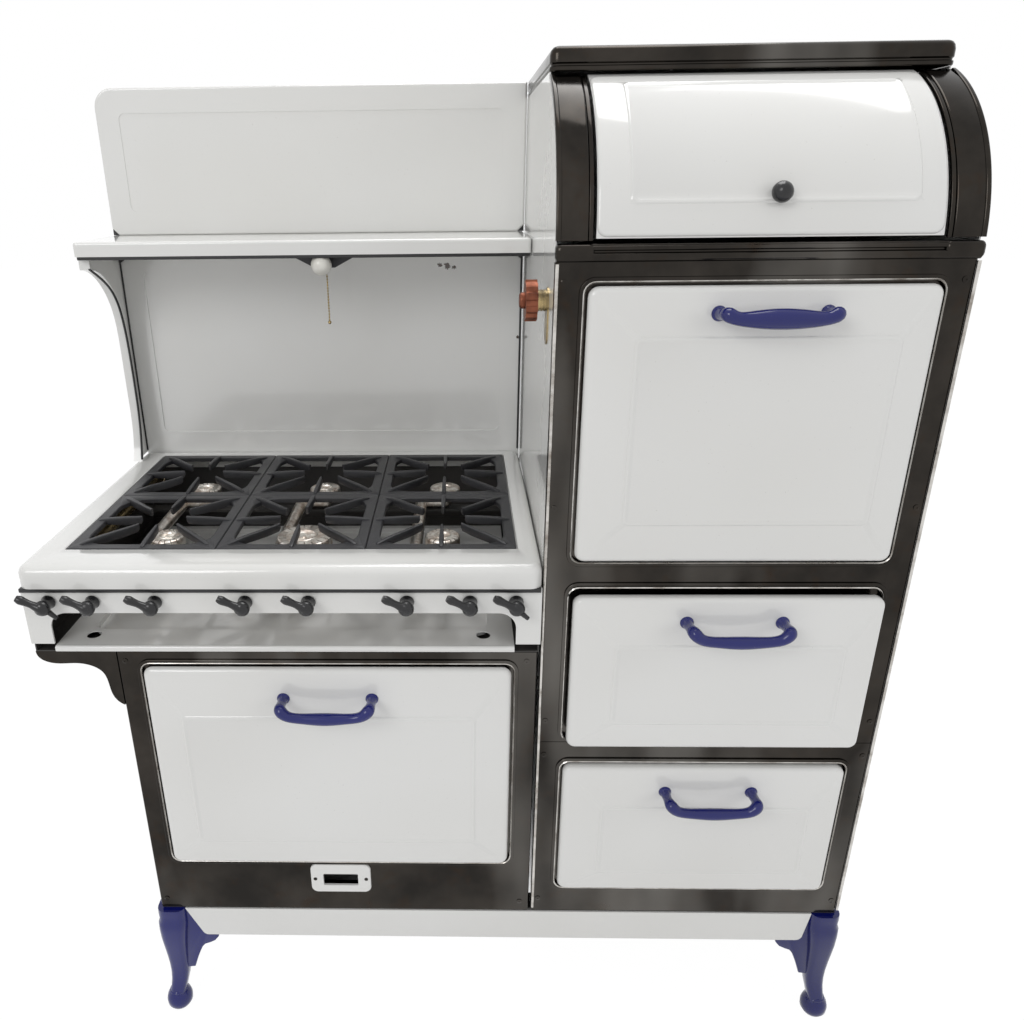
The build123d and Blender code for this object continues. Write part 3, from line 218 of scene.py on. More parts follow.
def bare_metal(name, colour, dirt, rough, scale=40.0):
    """Plain metal with tarnish in cloudy patches."""
    f = Finish(name)
    patch = f.ramp(f.noise(scale, 5.0, 0.6), 0.42, 0.72)
    return f.surface(Base_Color=f.mix(patch, colour, dirt), Metallic=1.0, Roughness=patch * 0.25 + rough,
                     Normal=f.bump(f.noise(scale * 6, 2.0), 0.10, 0.0005))


def painted_sheet(name, colour, rough):
    """Dull black sheet steel."""
    f = Finish(name)
    cloud = f.ramp(f.noise(6.0, 4.0), 0.3, 0.8)
    tone = f.mix(cloud, colour, rgb(colour[0] * 1.5, colour[1] * 1.4, colour[2] * 1.3))
    dents = f.bump(f.noise(90.0), 0.1, 0.0006)
    return f.surface(Base_Color=tone, Roughness=cloud * 0.15 + rough, Normal=dents)


def speckled_enamel(name):
    """Blue-black oven enamel with white flecks."""
    f = Finish(name)
    fleck = f.noise(260.0, 1.0).above(0.66)
    tone = f.mix(fleck, rgb(0.020, 0.024, 0.035), rgb(0.45, 0.47, 0.50))
    ripple = f.bump(f.noise(50.0), 0.06, 0.0006)
    return f.surface(Base_Color=tone, Roughness=0.25, Coat_Weight=0.4, Normal=ripple)


def frosted(name):
    """Frosted lamp glass."""
    f = Finish(name)
    tone = f.mix(f.ramp(f.noise(40.0), 0.3, 0.8), rgb(0.80, 0.79, 0.74), rgb(0.68, 0.66, 0.60))
    frost = f.bump(f.noise(300.0), 0.05, 0.0004)
    return f.surface(Base_Color=tone, Roughness=0.32, Coat_Weight=0.5, Normal=frost)


clean_white = rgb(0.80, 0.80, 0.785)
yellowed_white = rgb(0.745, 0.74, 0.715)
white = porcelain("white_porcelain", clean_white, yellowed_white)
cobalt = porcelain("cobalt_porcelain", rgb(0.006, 0.010, 0.150), rgb(0.004, 0.007, 0.100), coat=0.0)
nickel = nickel_with_painted_reflections("nickel_with_painted_reflections")
# Painted highlight: a bright copy of the dark nickel, for beads that stand for light caught on the frames'
# rounded edges
nickel_painted_highlight = bare_metal("nickel_painted_highlight", rgb(0.62, 0.60, 0.57), rgb(0.24, 0.21, 0.18), 0.14, 30.0)
iron = black_iron("stove_black", (0.016, 0.016, 0.018), 0.34, 0.35)
trim_black = black_iron("black_trim", (0.010, 0.010, 0.011), 0.30, 0.08)
handle_black = black_iron("black_grip", (0.008, 0.008, 0.009), 0.16, 0.05)
# Pale cast burners, made paler still as painted light to offset the shade of the grates over them
burner_metal = bare_metal("burner_casting_lightened", rgb(0.92, 0.88, 0.82), rgb(0.42, 0.32, 0.25), 0.28, 60.0)
wire_metal = bare_metal("plated_wire", rgb(0.55, 0.54, 0.52), rgb(0.25, 0.22, 0.18), 0.25)
brass = bare_metal("aged_brass", rgb(0.42, 0.32, 0.16), rgb(0.10, 0.08, 0.05), 0.22)
copper_red = bare_metal("copper_wheel", rgb(0.24, 0.085, 0.05), rgb(0.09, 0.035, 0.025), 0.38)
sheet_black = painted_sheet("sheet_steel", (0.030, 0.029, 0.028), 0.45)
oven_grey = speckled_enamel("oven_enamel")
lamp_glass = frosted("frosted_glass")

# Chips in the backsplash: across from the tower, height and size, in metres
chips = ((-0.1585, 1.2825, 0.0042), (-0.1452, 1.2805, 0.0056), (-0.1320, 1.2786, 0.0040),
         (-0.0083, 1.1452, 0.0030))
splash_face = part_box("backsplash")[0].y
chipped = porcelain("chipped_porcelain", clean_white, yellowed_white,
                    [(tower_left + x, splash_face, z, size) for x, z, size in chips])

by_slot = {
    "white_enamel": white, "blue_enamel": cobalt, "nickel": nickel, "black_iron": iron,
    "black_handle": handle_black, "grey_enamel": oven_grey, "sheet_steel": sheet_black, "brass": brass,
    "burner_metal": burner_metal, "wire": wire_metal, "copper_red": copper_red, "frosted_glass": lamp_glass,
}
for entry in frame["record"]["subparts"]:
    part = nodes[entry["node"]]
    finish = chipped if entry["node"] == "backsplash" else by_slot[entry["material_slot"]]
    part.data.materials.clear()
    part.data.materials.append(finish)


# Making pieces

def at(x, y, z):
    """A point in metres from the stove's own millimetres."""
    return Vector((tower_left + x / 1000, frames_front + y / 1000, z / 1000))


def millimetres(low, high):
    """A box's corners as the stove's own millimetres: x0, x1, y0, y1, z0, z1."""
    return ((low.x - tower_left) * 1000, (high.x - tower_left) * 1000, (low.y - frames_front) * 1000,
            (high.y - frames_front) * 1000, low.z * 1000, high.z * 1000)


facing = Matrix(((1, 0, 0), (0, 0, 1), (0, 1, 0))).to_4x4()


def ring(shape, place, width, height, corner, steps=5):
    """A loop of corners: a rounded rectangle, in metres, across the place's own X and Y."""
    spots = [shape.verts.new(place @ Vector((across * width / 2, up * height / 2, 0)))
             for across, up in ((-1, -1), (1, -1), (1, 1), (-1, 1))]
    shape.faces.new(spots)
    made = bmesh.ops.bevel(shape, geom=spots, offset=corner, segments=steps, profile=0.5, affect="VERTICES",
                           material=-1)
    face = max(made["verts"][0].link_faces, key=lambda one: len(one.verts))
    loop = list(face.verts)
    bmesh.ops.delete(shape, geom=[face], context="FACES_ONLY")
    home = place.inverted()
    flat = [home @ vertex.co for vertex in loop]
    area = sum(a.x * b.y - b.x * a.y for a, b in zip(flat, flat[1:] + flat[:1]))
    if area < 0:
        loop.reverse()
        flat.reverse()
    first = min(range(len(loop)), key=lambda i: (round(flat[i].y, 6), flat[i].x))
    return loop[first:] + loop[:first]


def front_ring(shape, x0, x1, z0, z1, y, corner, steps=5):
    """A rounded rectangle that faces the cook, in millimetres."""
    place = Matrix.Translation(at((x0 + x1) / 2, y, (z0 + z1) / 2)) @ facing
    return ring(shape, place, (x1 - x0) / 1000, (z1 - z0) / 1000, corner / 1000, steps)


def flat_ring(shape, x0, x1, y0, y1, z, corner, steps=5):
    """A rounded rectangle that lies level, in millimetres."""
    place = Matrix.Translation(at((x0 + x1) / 2, (y0 + y1) / 2, z))
    return ring(shape, place, (x1 - x0) / 1000, (y1 - y0) / 1000, corner / 1000, steps)


def skin(shape, loops, closed=False):
    """Covers a row of loops, and caps its two ends or joins them."""
    for first, second in zip(loops, loops[1:] + (loops[:1] if closed else [])):
        for i in range(len(first)):
            shape.faces.new((first[i - 1], first[i], second[i], second[i - 1]))
    if not closed:
        shape.faces.new(loops[0])
        shape.faces.new(loops[-1])


def block(shape, x0, x1, y0, y1, z0, z1, round_by=0.0, steps=3):
    """A block in millimetres, with all its edges rounded."""
    corners = bmesh.ops.create_cube(shape, size=1.0)["verts"]
    low, high = at(x0, y0, z0), at(x1, y1, z1)
    bmesh.ops.scale(shape, vec=high - low, verts=corners)
    bmesh.ops.translate(shape, vec=(low + high) / 2, verts=corners)
    if round_by:
        edges = list({edge for vertex in corners for edge in vertex.link_edges})
        bmesh.ops.bevel(shape, geom=edges, offset=round_by / 1000, segments=steps, profile=0.5,
                        affect="EDGES", material=-1, clamp_overlap=True)


forward = (0, -1, 0)
rightward = (1, 0, 0)
upward = (0, 0, 1)
backward = (0, 1, 0)


def lathe(shape, centre, axis, profile, steps=28):
    """A turned piece: profile holds (radius, place along the axis) in millimetres, from pole to pole."""
    axis = Vector(axis).normalized()
    aside = axis.orthogonal().normalized()
    points = [shape.verts.new(centre + (axis * along + aside * radius) / 1000) for radius, along in profile]
    lines = [shape.edges.new(pair) for pair in zip(points, points[1:])]
    bmesh.ops.spin(shape, geom=points + lines, cent=centre, axis=axis, angle=2 * pi, steps=steps,
                   use_merge=True)


def cut_sheet(shape, points, thickness, direction, round_by=0.0, steps=2):
    """A flat piece from its outline, with a thickness in millimetres along a direction and rounded rims."""
    corners = [shape.verts.new(point) for point in points]
    face = shape.faces.new(corners)
    made = bmesh.ops.extrude_face_region(shape, geom=[face])["geom"]
    moved = [item for item in made if isinstance(item, bmesh.types.BMVert)]
    bmesh.ops.translate(shape, vec=Vector(direction) * thickness / 1000, verts=moved)
    if round_by:
        rims = [edge for edge in {e for v in corners + moved for e in v.link_edges}
                if all(v in corners for v in edge.verts) or all(v in moved for v in edge.verts)]
        bmesh.ops.bevel(shape, geom=rims, offset=round_by / 1000, segments=steps, profile=0.5,
                        affect="EDGES", material=-1, clamp_overlap=True)


def add_rod(shape, points, radii, order=4, sides=5):
    """Adds a round bar along a smooth line: its points are in metres and its radii in millimetres."""
    line = bpy.data.curves.new("rod_line", "CURVE")
    line.dimensions = "3D"
    line.bevel_depth = 0.001
    line.bevel_resolution = sides
    line.use_fill_caps = True
    line.resolution_u = 8
    spline = line.splines.new("NURBS")
    spline.points.add(len(points) - 1)
    for knot, place, radius in zip(spline.points, points, radii):
        knot.co = (*place, 1.0)
        knot.radius = radius
    spline.order_u = order
    spline.use_endpoint_u = True
    holder = bpy.data.objects.new("rod_line", line)
    bpy.context.scene.collection.objects.link(holder)
    mesh = bpy.data.meshes.new_from_object(holder)
    bpy.data.objects.remove(holder)
    bpy.data.curves.remove(line)
    shape.from_mesh(mesh)
    bpy.data.meshes.remove(mesh)


def complete(name, shape, material, body, stands_for=(), smooth_angle=38):
    """Turns a bmesh into a finished piece on its body."""
    bmesh.ops.remove_doubles(shape, verts=shape.verts, dist=2e-6)
    bmesh.ops.recalc_face_normals(shape, faces=shape.faces)
    mesh = bpy.data.meshes.new(name)
    shape.to_mesh(mesh)
    shape.free()
    mesh.polygons.foreach_set("use_smooth", [True] * len(mesh.polygons))
    mesh.set_sharp_from_angle(angle=radians(smooth_angle))
    mesh.materials.append(material)
    piece = bpy.data.objects.new(name, mesh)
    bpy.context.scene.collection.objects.link(piece)
    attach(piece, body)
    if stands_for:
        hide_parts(*stands_for)
    return piece


# Doors and drawer fronts: outline and pressed field are (x0, x1, z0, z1) in millimetres

def pressed_loops(shape, outline, field, front, back, corner, rim, heel):
    """Loops of a pressed front: heel, side, rounded rim, flat, raised line, field."""
    x0, x1, z0, z1 = outline

    def around(inset, y):
        turn = max(corner - inset, 1.5)
        return front_ring(shape, x0 + inset, x1 - inset, z0 + inset, z1 - inset, y, turn)

    loops = [around(heel, back), around(heel * 0.3, back - heel * 0.3), around(0, back - heel)]
    for turn in (0, 22, 45, 68, 90):
        a = radians(turn)
        loops.append(around(rim * (1 - cos(a)), front + rim * (1 - sin(a))))
    fx0, fx1, fz0, fz1 = field
    for inset, rise in ((-3.4, 0.0), (-1.5, 1.7), (1.0, 1.8), (3.6, 0.2)):
        loops.append(front_ring(shape, fx0 + inset, fx1 - inset, fz0 + inset, fz1 - inset, front - rise,
                                7 - inset / 2))
    return loops


fronts = {
    "left_oven_door": ("left_oven_door_body", (-559, -101, 406, 651)),
    "upper_oven_door": ("upper_oven_door_body", (109, 446, 981, 1239)),
    "middle_drawer_front": ("middle_drawer", (110, 443, 657, 790)),
    "lower_drawer_front": ("lower_drawer", (109, 442, 344, 477)),
}
for label, (body, field) in fronts.items():
    x0, x1, front, back, z0, z1 = millimetres(*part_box(label))
    heel = 7.9 if label.endswith("door") else 2.0
    shape = bmesh.new()
    skin(shape, pressed_loops(shape, (x0, x1, z0, z1), field, front, back, 14, 8, heel))
    complete("pressed_" + label, shape, white, body, (label,))


# Roll-top door

def on_arc(x, angle, radius):
    """A point at an angle in degrees up from the front, about the roll-top's axis."""
    a = radians(angle)
    return at(x, roll_axis_y - radius * cos(a), roll_axis_height + radius * sin(a))


def rolled_front():
    """The roll-top's pressed panel: made flat, cut into strips and bent about the axis."""
    radius = roll_radius - 2.7
    low_angle = 5.9
    high_angle = 66.5
    length = radians(high_angle - low_angle) * radius
    shape = bmesh.new()
    outline = (51, 481.5, 0, length)
    field = (95, 446, 42, length - 28)
    skin(shape, pressed_loops(shape, outline, field, -2.6, 4.4, 13, 4.5, 1.0))
    bmesh.ops.remove_doubles(shape, verts=shape.verts, dist=2e-6)
    bmesh.ops.recalc_face_normals(shape, faces=shape.faces)
    strips = 46
    for i in range(1, strips):
        geometry = shape.verts[:] + shape.edges[:] + shape.faces[:]
        bmesh.ops.bisect_plane(shape, geom=geometry, dist=1e-7, plane_co=(0, 0, length / 1000 * i / strips),
                               plane_no=(0, 0, 1))
    for vertex in shape.verts:
        along = vertex.co.z * 1000
        outward = (frames_front - vertex.co.y) * 1000
        angle = low_angle + along / radius * 180 / pi
        x = (vertex.co.x - tower_left) * 1000
        vertex.co = on_arc(x, angle, radius + outward)
    complete("pressed_roll_top", shape, white, "roll_top")


rolled_front()


def arc_bar(shape, x0, x1, outer, inner, low_angle, high_angle, corner, steps=44):
    """A bar of rounded section, bent about the roll-top's axis."""
    start = Vector((0, -cos(radians(low_angle)), sin(radians(low_angle))))
    middle = on_arc((x0 + x1) / 2, low_angle, (outer + inner) / 2)
    across = Vector((1, 0, 0))
    place = Matrix((across, start, across.cross(start))).transposed().to_4x4()
    loop = ring(shape, Matrix.Translation(middle) @ place, (x1 - x0) / 1000, (outer - inner) / 1000,
                corner / 1000)
    edges = list({edge for vertex in loop for edge in vertex.link_edges})
    made = bmesh.ops.spin(shape, geom=loop + edges, cent=on_arc((x0 + x1) / 2, 0, 0), axis=(-1, 0, 0),
                          angle=radians(high_angle - low_angle), steps=steps)
    last = [item for item in made["geom_last"] if isinstance(item, bmesh.types.BMEdge)]
    for end in (edges, last):
        bmesh.ops.contextual_create(shape, geom=end)


def curved_trims():
    """Wide nickel bands at both sides of the roll-top, each with a raised lip and an inner rail."""
    low_angle = 5.0
    high_angle = 67.6
    shape = bmesh.new()
    inner = cap_width - trim_width
    for x0, x1, lip, rail in ((0, trim_width, 0, trim_width + 0.3),
                              (inner, cap_width, cap_width - 7, inner - 6)):
        arc_bar(shape, x0, x1, roll_radius - 0.4, roll_radius - 6.5, low_angle, high_angle, 2.6)
        arc_bar(shape, lip, lip + 7, roll_radius + 1.4, roll_radius - 4, low_angle, high_angle, 2.4)
        arc_bar(shape, rail, rail + 5.5, roll_radius - 1.6, roll_radius - 6.5, low_angle, high_angle, 1.2)
    complete("nickel_arc_trims", shape, nickel, root, ("arc_trims",))


curved_trims()


def closet_cap():
    """The top cap with its rolled nickel rim, hollow underneath."""
    shape = bmesh.new()
    inside = [(8.5, 1590), (8.5, 1569.4), (6.5, 1567.6)]
    outside = [(1.2, 1566.3), (0, 1568), (0, 1572), (1.8, 1573.2), (1.8, 1575), (0, 1577), (0, 1586),
               (1.4, 1591.5), (4.6, 1595.3), (9, 1597)]
    loops = []
    for inset, z in inside + outside:
        loops.append(flat_ring(shape, inset, cap_width - inset, cap_front + inset, body_depth - inset, z,
                               max(13 - inset, 3)))
    skin(shape, loops)
    complete("nickel_cap", shape, nickel, root, ("top_cap",))


closet_cap()


def sill_moulding():
    """Half-round bead and sill under the roll-top, with a rounded capital at each end."""
    shape = bmesh.new()
    block(shape, trim_width, cap_width - trim_width, -1, 20, 1335.2, 1357, 1.5)
    lathe(shape, at(0, 0, 1341), rightward, [(0, 1), (6, 1), (6, 529), (0, 529)])
    lathe(shape, at(0, -0.5, 1352), rightward, [(0, 30), (3.4, 30), (3.4, 503), (0, 503)])
    capital = trim_width + 8
    for x0, x1 in ((0, capital), (cap_width - capital, cap_width)):
        loops = []
        for y, inset in ((7.6, 0), (-1, 0), (-4, 1.2), (-6, 4.5)):
            loops.append(front_ring(shape, x0 + inset, x1 - inset, 1335.3 + inset, 1357 - inset, y, 6))
        skin(shape, loops)
    complete("nickel_moulding", shape, nickel, root, ("tower_moulding",))


sill_moulding()


# Handles

def pull_handle(name, node, body, fat, bow, hang=0.010, neck=7.8):
    """A cast handle: flared feet, curled elbows and a fat middle, kept inside its plain solid's reach."""
    low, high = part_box(node)
    middle = (low.x + high.x) / 2
    face = high.y
    # In metres: half the distance between the posts, and how far the grip stands out
    half = 0.069
    reach = (high.y - low.y) - 0.0035
    top = high.z - 0.0102
    shape = bmesh.new()

    def spot(across, out, drop):
        return Vector((middle + across, face - out, top - drop))

    grip = reach - fat / 1000
    # Half of the handle, foot to middle: across, out, down and the bar's radius
    stations = [(half, -0.001, 0, 8.5), (half, 0.012, 0, 6.6), (half, 0.026, -0.003, 7.0),
                (half - 0.001, grip, -0.004, 10.5), (half - 0.012, grip + 0.001, hang * 0.8, 7.6),
                (0.034, grip, hang + bow / 3, neck), (0, grip, hang + bow, fat * 1.12)]
    points = [spot(-across, out, drop) for across, out, drop, radius in stations]
    points += [spot(across, out, drop) for across, out, drop, radius in stations[-2::-1]]
    radii = [radius for across, out, drop, radius in stations]
    add_rod(shape, points, radii + radii[-2::-1])
    for side in (-half, half):
        lathe(shape, spot(side, 0, 0), forward,
              [(0, -0.5), (10, -0.5), (10, 1.2), (9, 3), (7.4, 5.5), (0, 6)])
    complete(name, shape, cobalt, body, (node,))


pull_handle("cobalt_left_oven_handle", "left_oven_door_handle", "left_oven_door_body", 9.5, 0.002)
pull_handle("cobalt_upper_oven_handle", "upper_oven_door_handle", "upper_oven_door_body", 12.5, -0.001,
            0.003, 11.4)
pull_handle("cobalt_middle_handle", "middle_drawer_handle", "middle_drawer", 9.0, 0.002)
pull_handle("cobalt_lower_handle", "lower_drawer_handle", "lower_drawer", 9.0, 0.002)


# Legs

def cabriole_legs():
    """Four cast legs: chamfered head, curved knee, thin ankle, ball foot and two scrolled wings."""
    # The stem's sections, from the top: height, width and how far it leans in
    sections = [(238, 50, 1), (226, 51, 0.5), (214, 50, 1), (207, 52, -1.2), (190, 50, -1.6),
                (170, 46, -0.8), (150, 41.5, 1), (128, 37.5, 3), (104, 34.5, 4.6), (84, 32.5, 5),
                (66, 30.5, 4.2), (50, 28.5, 2.2), (40, 28, 0.4), (31, 27, -1)]
    ball = [(0, 0), (12, 0), (18.5, 3.4), (22.4, 10), (22.9, 19), (20.5, 28), (15.5, 34.5), (15.8, 38),
            (13, 41), (0, 41)]
    wing = [(24, 238), (101, 238), (104.5, 231), (104.5, 178), (102, 166), (95, 157), (85, 151.5),
            (76, 148), (70, 141), (65, 130), (60, 118), (55, 104), (51, 92), (24, 88)]
    shape = bmesh.new()
    for side in (-1, 1):
        for end in (-1, 1):
            corner_x = leg_left if side < 0 else leg_right
            corner_y = leg_front if end < 0 else leg_back
            loops = []
            for z, size, inward in sections:
                x = corner_x - side * (size / 2 + inward)
                y = corner_y - end * (size / 2 + inward)
                half = size / 2
                loops.append(flat_ring(shape, x - half, x + half, y - half, y + half, z, size * 0.3, 4))
            skin(shape, loops)
            foot = at(corner_x - side * 13.1, corner_y - end * 13.1, 0)
            lathe(shape, foot, upward, ball)
            y0 = corner_y - end * 13
            cut_sheet(shape, [at(corner_x - side * u, y0, z) for u, z in wing], 7, (0, -end, 0), 2.0)
            x0 = corner_x - side * 13
            cut_sheet(shape, [at(x0, corner_y - end * u, z) for u, z in wing], 7, (-side, 0, 0), 2.0)
    complete("cobalt_legs", shape, cobalt, root, ("legs",))


cabriole_legs()


# Cooktop

def pressed_cooktop():
    """The cooktop sheet with its rolled front, deep aprons and the lip that the grates sit in."""
    shape = bmesh.new()
    x0, x1, y0, y1 = left_edge, cooktop_right, cooktop_front, splash_front
    well = (-728.6, -33.4, 52.4, 515.6)
    rows = [(3.0, 880.5), (0.0, 879), (0.0, 898)]
    for turn in (15, 30, 45, 60, 75, 90):
        a = radians(turn)
        rows.append((15 * (1 - cos(a)), 899 + 15 * sin(a)))

    def outer(inset, z, corner):
        return flat_ring(shape, x0 + inset, x1 - inset, y0 + inset, y1 - 0.4 * inset, z, corner, 6)

    loops = [outer(inset, z, max(19 - inset, 6)) for inset, z in rows]
    wx0, wx1, wy0, wy1 = well
    steps = ((-2, cooktop_height, 4), (0, 912.6, 3), (0, 906, 3), (9, 906, 3), (9, 902.6, 3),
             (-3, 902.6, 4), (-4, 910.8, 5))
    for inset, z, corner in steps:
        loops.append(flat_ring(shape, wx0 + inset, wx1 - inset, wy0 + inset, wy1 - inset, z, corner, 6))
    loops.append(outer(18, 910.8, 6))
    loops.append(outer(6, 906, 10))
    loops.append(outer(3, 898, 12))
    skin(shape, loops, closed=True)
    complete("porcelain_cooktop", shape, white, root, ("cooktop",))


pressed_cooktop()


def cast_grate(index, name):
    """One grate section: a frame round two openings, with eight tapered ribs that climb to each burner."""
    shape = bmesh.new()
    rib_corner = 0.0019
    bottom = 906.2
    edge = 912.6
    bar = 17
    x0 = grate_left + index * grate_width + 0.5
    x1 = x0 + grate_width - 1
    middle = (x0 + x1) / 2
    for cy, y0, y1 in zip(burner_rows, (54.2, 284.1), (283.9, 513.8)):
        loops = []
        for inset, z, corner in ((0, bottom, 2), (0, edge, 2), (1.4, cooktop_height, 2),
                                 (bar - 1.4, cooktop_height, 38), (bar, edge, 38), (bar, bottom, 38)):
            loops.append(flat_ring(shape, x0 + inset, x1 - inset, y0 + inset, y1 - inset, z, corner))
        skin(shape, loops, closed=True)
        for turn in range(0, 360, 45):
            a = radians(turn)
            diagonal = turn % 90 != 0
            ahead = Vector((cos(a), sin(a), 0))
            aside = Vector((-sin(a), cos(a), 0))
            place = Matrix((aside, Vector(upward), ahead)).transposed().to_4x4()
            reach = 141 if diagonal else 110
            inner = 45 if diagonal else 37
            # The rib's sections, outwards: distance, width, height and top
            sections = [(inner, 4.2, 10, 921.4), (inner + 3, 5.2, 13.5, 920.8),
                        (inner + 26, 6.6, 14.5, 920), (reach - 34, 7.4, 13.5, 919.2),
                        (reach - 14, 7.6, 11.5, 917.8), (reach - 3, 7.2, 8.5, 916.2),
                        (reach, 5.5, 6.4, 915)]
            loops = []
            for along, wide, tall, top in sections:
                spot = at(middle, cy, top - tall / 2) + ahead * along / 1000
                loops.append(ring(shape, Matrix.Translation(spot) @ place, wide / 1000, tall / 1000,
                                  rib_corner, 2))
            skin(shape, loops)
    complete("iron_" + name, shape, iron, name + "_body", (name,))


for index, name in enumerate(("grate_left", "grate_centre", "grate_right")):
    cast_grate(index, name)


# Valve levers and knob

def valve_lever(index, x):
    """A black lever: a turned hub and skirt, with a waisted blade that points up to the left.

    The first and the last have a small stop below the hub.
    """
    shape = bmesh.new()
    centre = at(x, 0, lever_height)
    hub = [(0, -14), (4, -14), (4, 9), (10.4, 9.6), (11, 11), (9.2, 16), (9.4, 22), (11.4, 28),
           (11.6, 33), (9, 37), (4.5, 39), (0, 39.4)]
    lathe(shape, centre, forward, hub)
    a = radians(150)
    blade = Vector((cos(a), 0, sin(a)))
    points = []
    radii = []
    for along, out, radius in ((-8, 31, 5.2), (0, 32.5, 8.6), (9, 33, 6.4), (17, 33.5, 5.0),
                               (26, 34.5, 5.8), (33, 35, 7.2), (38.5, 35.2, 4.6)):
        points.append(centre + blade * along / 1000 + Vector((0, -out / 1000, 0)))
        radii.append(radius)
    add_rod(shape, points, radii, order=3)
    if index in (1, 8):
        stop = ((0.002, -0.004), (0.009, -0.012), (0.017, -0.019))
        add_rod(shape, [centre + Vector((across, -0.026, up)) for across, up in stop], [4.6, 4.0, 3.0],
                order=3)
    name = f"valve_lever_{index}"
    complete("grip_" + name, shape, handle_black, f"lever_{index}", (name,))


for index, x in enumerate(valve_places):
    valve_lever(index + 1, x)


def ball_knob():
    """The roll-top's turned ball knob."""
    shape = bmesh.new()
    a = radians(knob_angle)
    axis = Vector((0, -cos(a), sin(a)))
    foot = on_arc(knob_x, knob_angle, roll_radius - 3)
    knob = [(0, -9), (2.8, -9), (2.8, 0), (7.6, 0.3), (8, 2), (5.6, 4.5), (6.4, 6.5), (11.2, 9.6), (13, 14),
            (12.6, 19), (10, 24), (5.5, 27.6), (0, 28.6)]
    lathe(shape, foot, axis, knob)
    complete("grip_roll_top_knob", shape, handle_black, "roll_top", ("roll_top_knob",))


ball_knob()


# Small visible pieces that the plain solids leave out

def black_strips():
    """Black strips: in the gap under the cooktop's apron as painted shade, and under the shelf, along the
    bracket's inner edge and beside the splash.
    """
    shape = bmesh.new()
    block(shape, -773, -3, 362, 368, shelf_underside - 5.5, shelf_underside, 1.2)
    # Painted shade: a black block behind the apron's lower edge stands for the dark line of shade in that
    # gap
    block(shape, -775, -3, -13.4, -5, 872.6, 878.9, 0.9)
    curve = [(376.5, 1296), (415, 1279), (455, 1256), (478, 1224), (489, 1190), (496, 1140), (498, 1053),
             (496.5, 975), (478, 918)]
    bracket_face = -759.6
    add_rod(shape, [at(bracket_face, y - 1.2, z) for y, z in curve], [2.2] * len(curve))
    for x in (-771, -4):
        add_rod(shape, [at(x, splash_front - 1.2, z) for z in (918, 1100, 1315)], [1.8] * 3, order=2)
    complete("black_strips_with_painted_shade", shape, trim_black, root)


black_strips()


def painted_highlight_beads():
    """Beads in a bright copy of the nickel, painted highlights along the frames' rounded edges: round each
    door and drawer opening, and down both edges of the tower.
    """
    shape = bmesh.new()
    for label in fronts:
        x0, x1, front, back, z0, z1 = millimetres(*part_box(label))
        loops = []
        for outset, y in ((6.5, 0.6), (6.5, -2.6), (5.1, -3.9), (3.7, -2.6), (3.7, 0.6)):
            loops.append(front_ring(shape, x0 - outset, x1 + outset, z0 - outset, z1 + outset, y,
                                    10.5 + outset))
        skin(shape, loops, closed=True)
    for x in (3, tower_width):
        add_rod(shape, [at(x, -0.4, z) for z in (250, 791.5, 1333)], [2.6] * 3, order=2)
    complete("nickel_beads_painted_highlight", shape, nickel_painted_highlight, root)


painted_highlight_beads()


def angle_lugs():
    """Small black angle lugs under the shelf's ends and over its back corners."""
    shape = bmesh.new()
    for x, toward in ((-768, 1), (-4, -1)):
        lug = ((0, 1317.5), (15, 1317.5), (11, 1300), (0, 1292))
        cut_sheet(shape, [at(x + toward * u, splash_front - 4, z) for u, z in lug], 4, forward, 0.8)
    for x, toward in ((-776.5, 1), (-1.5, -1)):
        lug = ((0, 1342.2), (12, 1342.2), (0, 1354))
        cut_sheet(shape, [at(x + toward * u, splash_front + 3, z) for u, z in lug], 6, backward, 0.6)
    complete("black_lugs", shape, trim_black, root)


angle_lugs()


def screw_heads():
    """Domed screw heads on the castings, and two small ones on the bezel."""
    head = [(0, -1), (4.6, -1), (4.4, 0.9), (2.8, 1.8), (0.8, 2.0), (0.8, 1.2), (0, 1.2)]
    small_head = [(0, -1), (3.4, -1), (3.2, 0.6), (2, 1.2), (0, 1.4)]
    shape = bmesh.new()
    places = [(x, z) for x in (12, tower_width - 12) for z in (270, 575, 640, 1000, 1310)]
    places += [(x, z) for x in (-640, -20) for z in (262, 748)]
    for x, z in places:
        lathe(shape, at(x, 0, z), forward, head, 16)
    for x in (-373, -285):
        lathe(shape, at(x, -4, 313), forward, small_head, 16)
    complete("nickel_screws", shape, nickel, root)


screw_heads()


def rolled_tray_lip():
    """The drip tray's rolled front edge."""
    shape = bmesh.new()
    lip = [(0, -737.6), (3.4, -737.6), (4.3, -734), (4.3, -44), (3.4, -40.4), (0, -40.4)]
    lathe(shape, at(0, -9.6, 777.4), rightward, lip)
    complete("porcelain_tray_roll", shape, white, "tray")


rolled_tray_lip()


def flue_baffle():
    """A dark dished plate in the flue collar's bore."""
    shape = bmesh.new()
    dish = [(0, -4), (30, -3), (66, 0), (73.6, 0.4), (73.6, 2.2), (66, 2), (30, -1.2), (0, -2.2)]
    lathe(shape, at(tower_width / 2, body_depth + 10, flue_height), backward, dish, 40)
    complete("black_flue_baffle", shape, sheet_black, root)


flue_baffle()


def lamp_and_bulb():
    """The frosted bulb, turned in one piece with its neck."""
    shape = bmesh.new()
    z = shelf_underside - socket_radius
    glass = [(0, -18), (6, -17), (11.8, -13.6), (16.2, -7.8), (18, -0.4), (16.6, 7), (13, 13), (9.4, 18),
             (8.9, 24), (0, 27)]
    lathe(shape, at(lamp_x, lamp_y - 16, z - 4), backward, glass)
    complete("frosted_bulb", shape, lamp_glass, root, ("lamp_bulb",))


lamp_and_bulb()


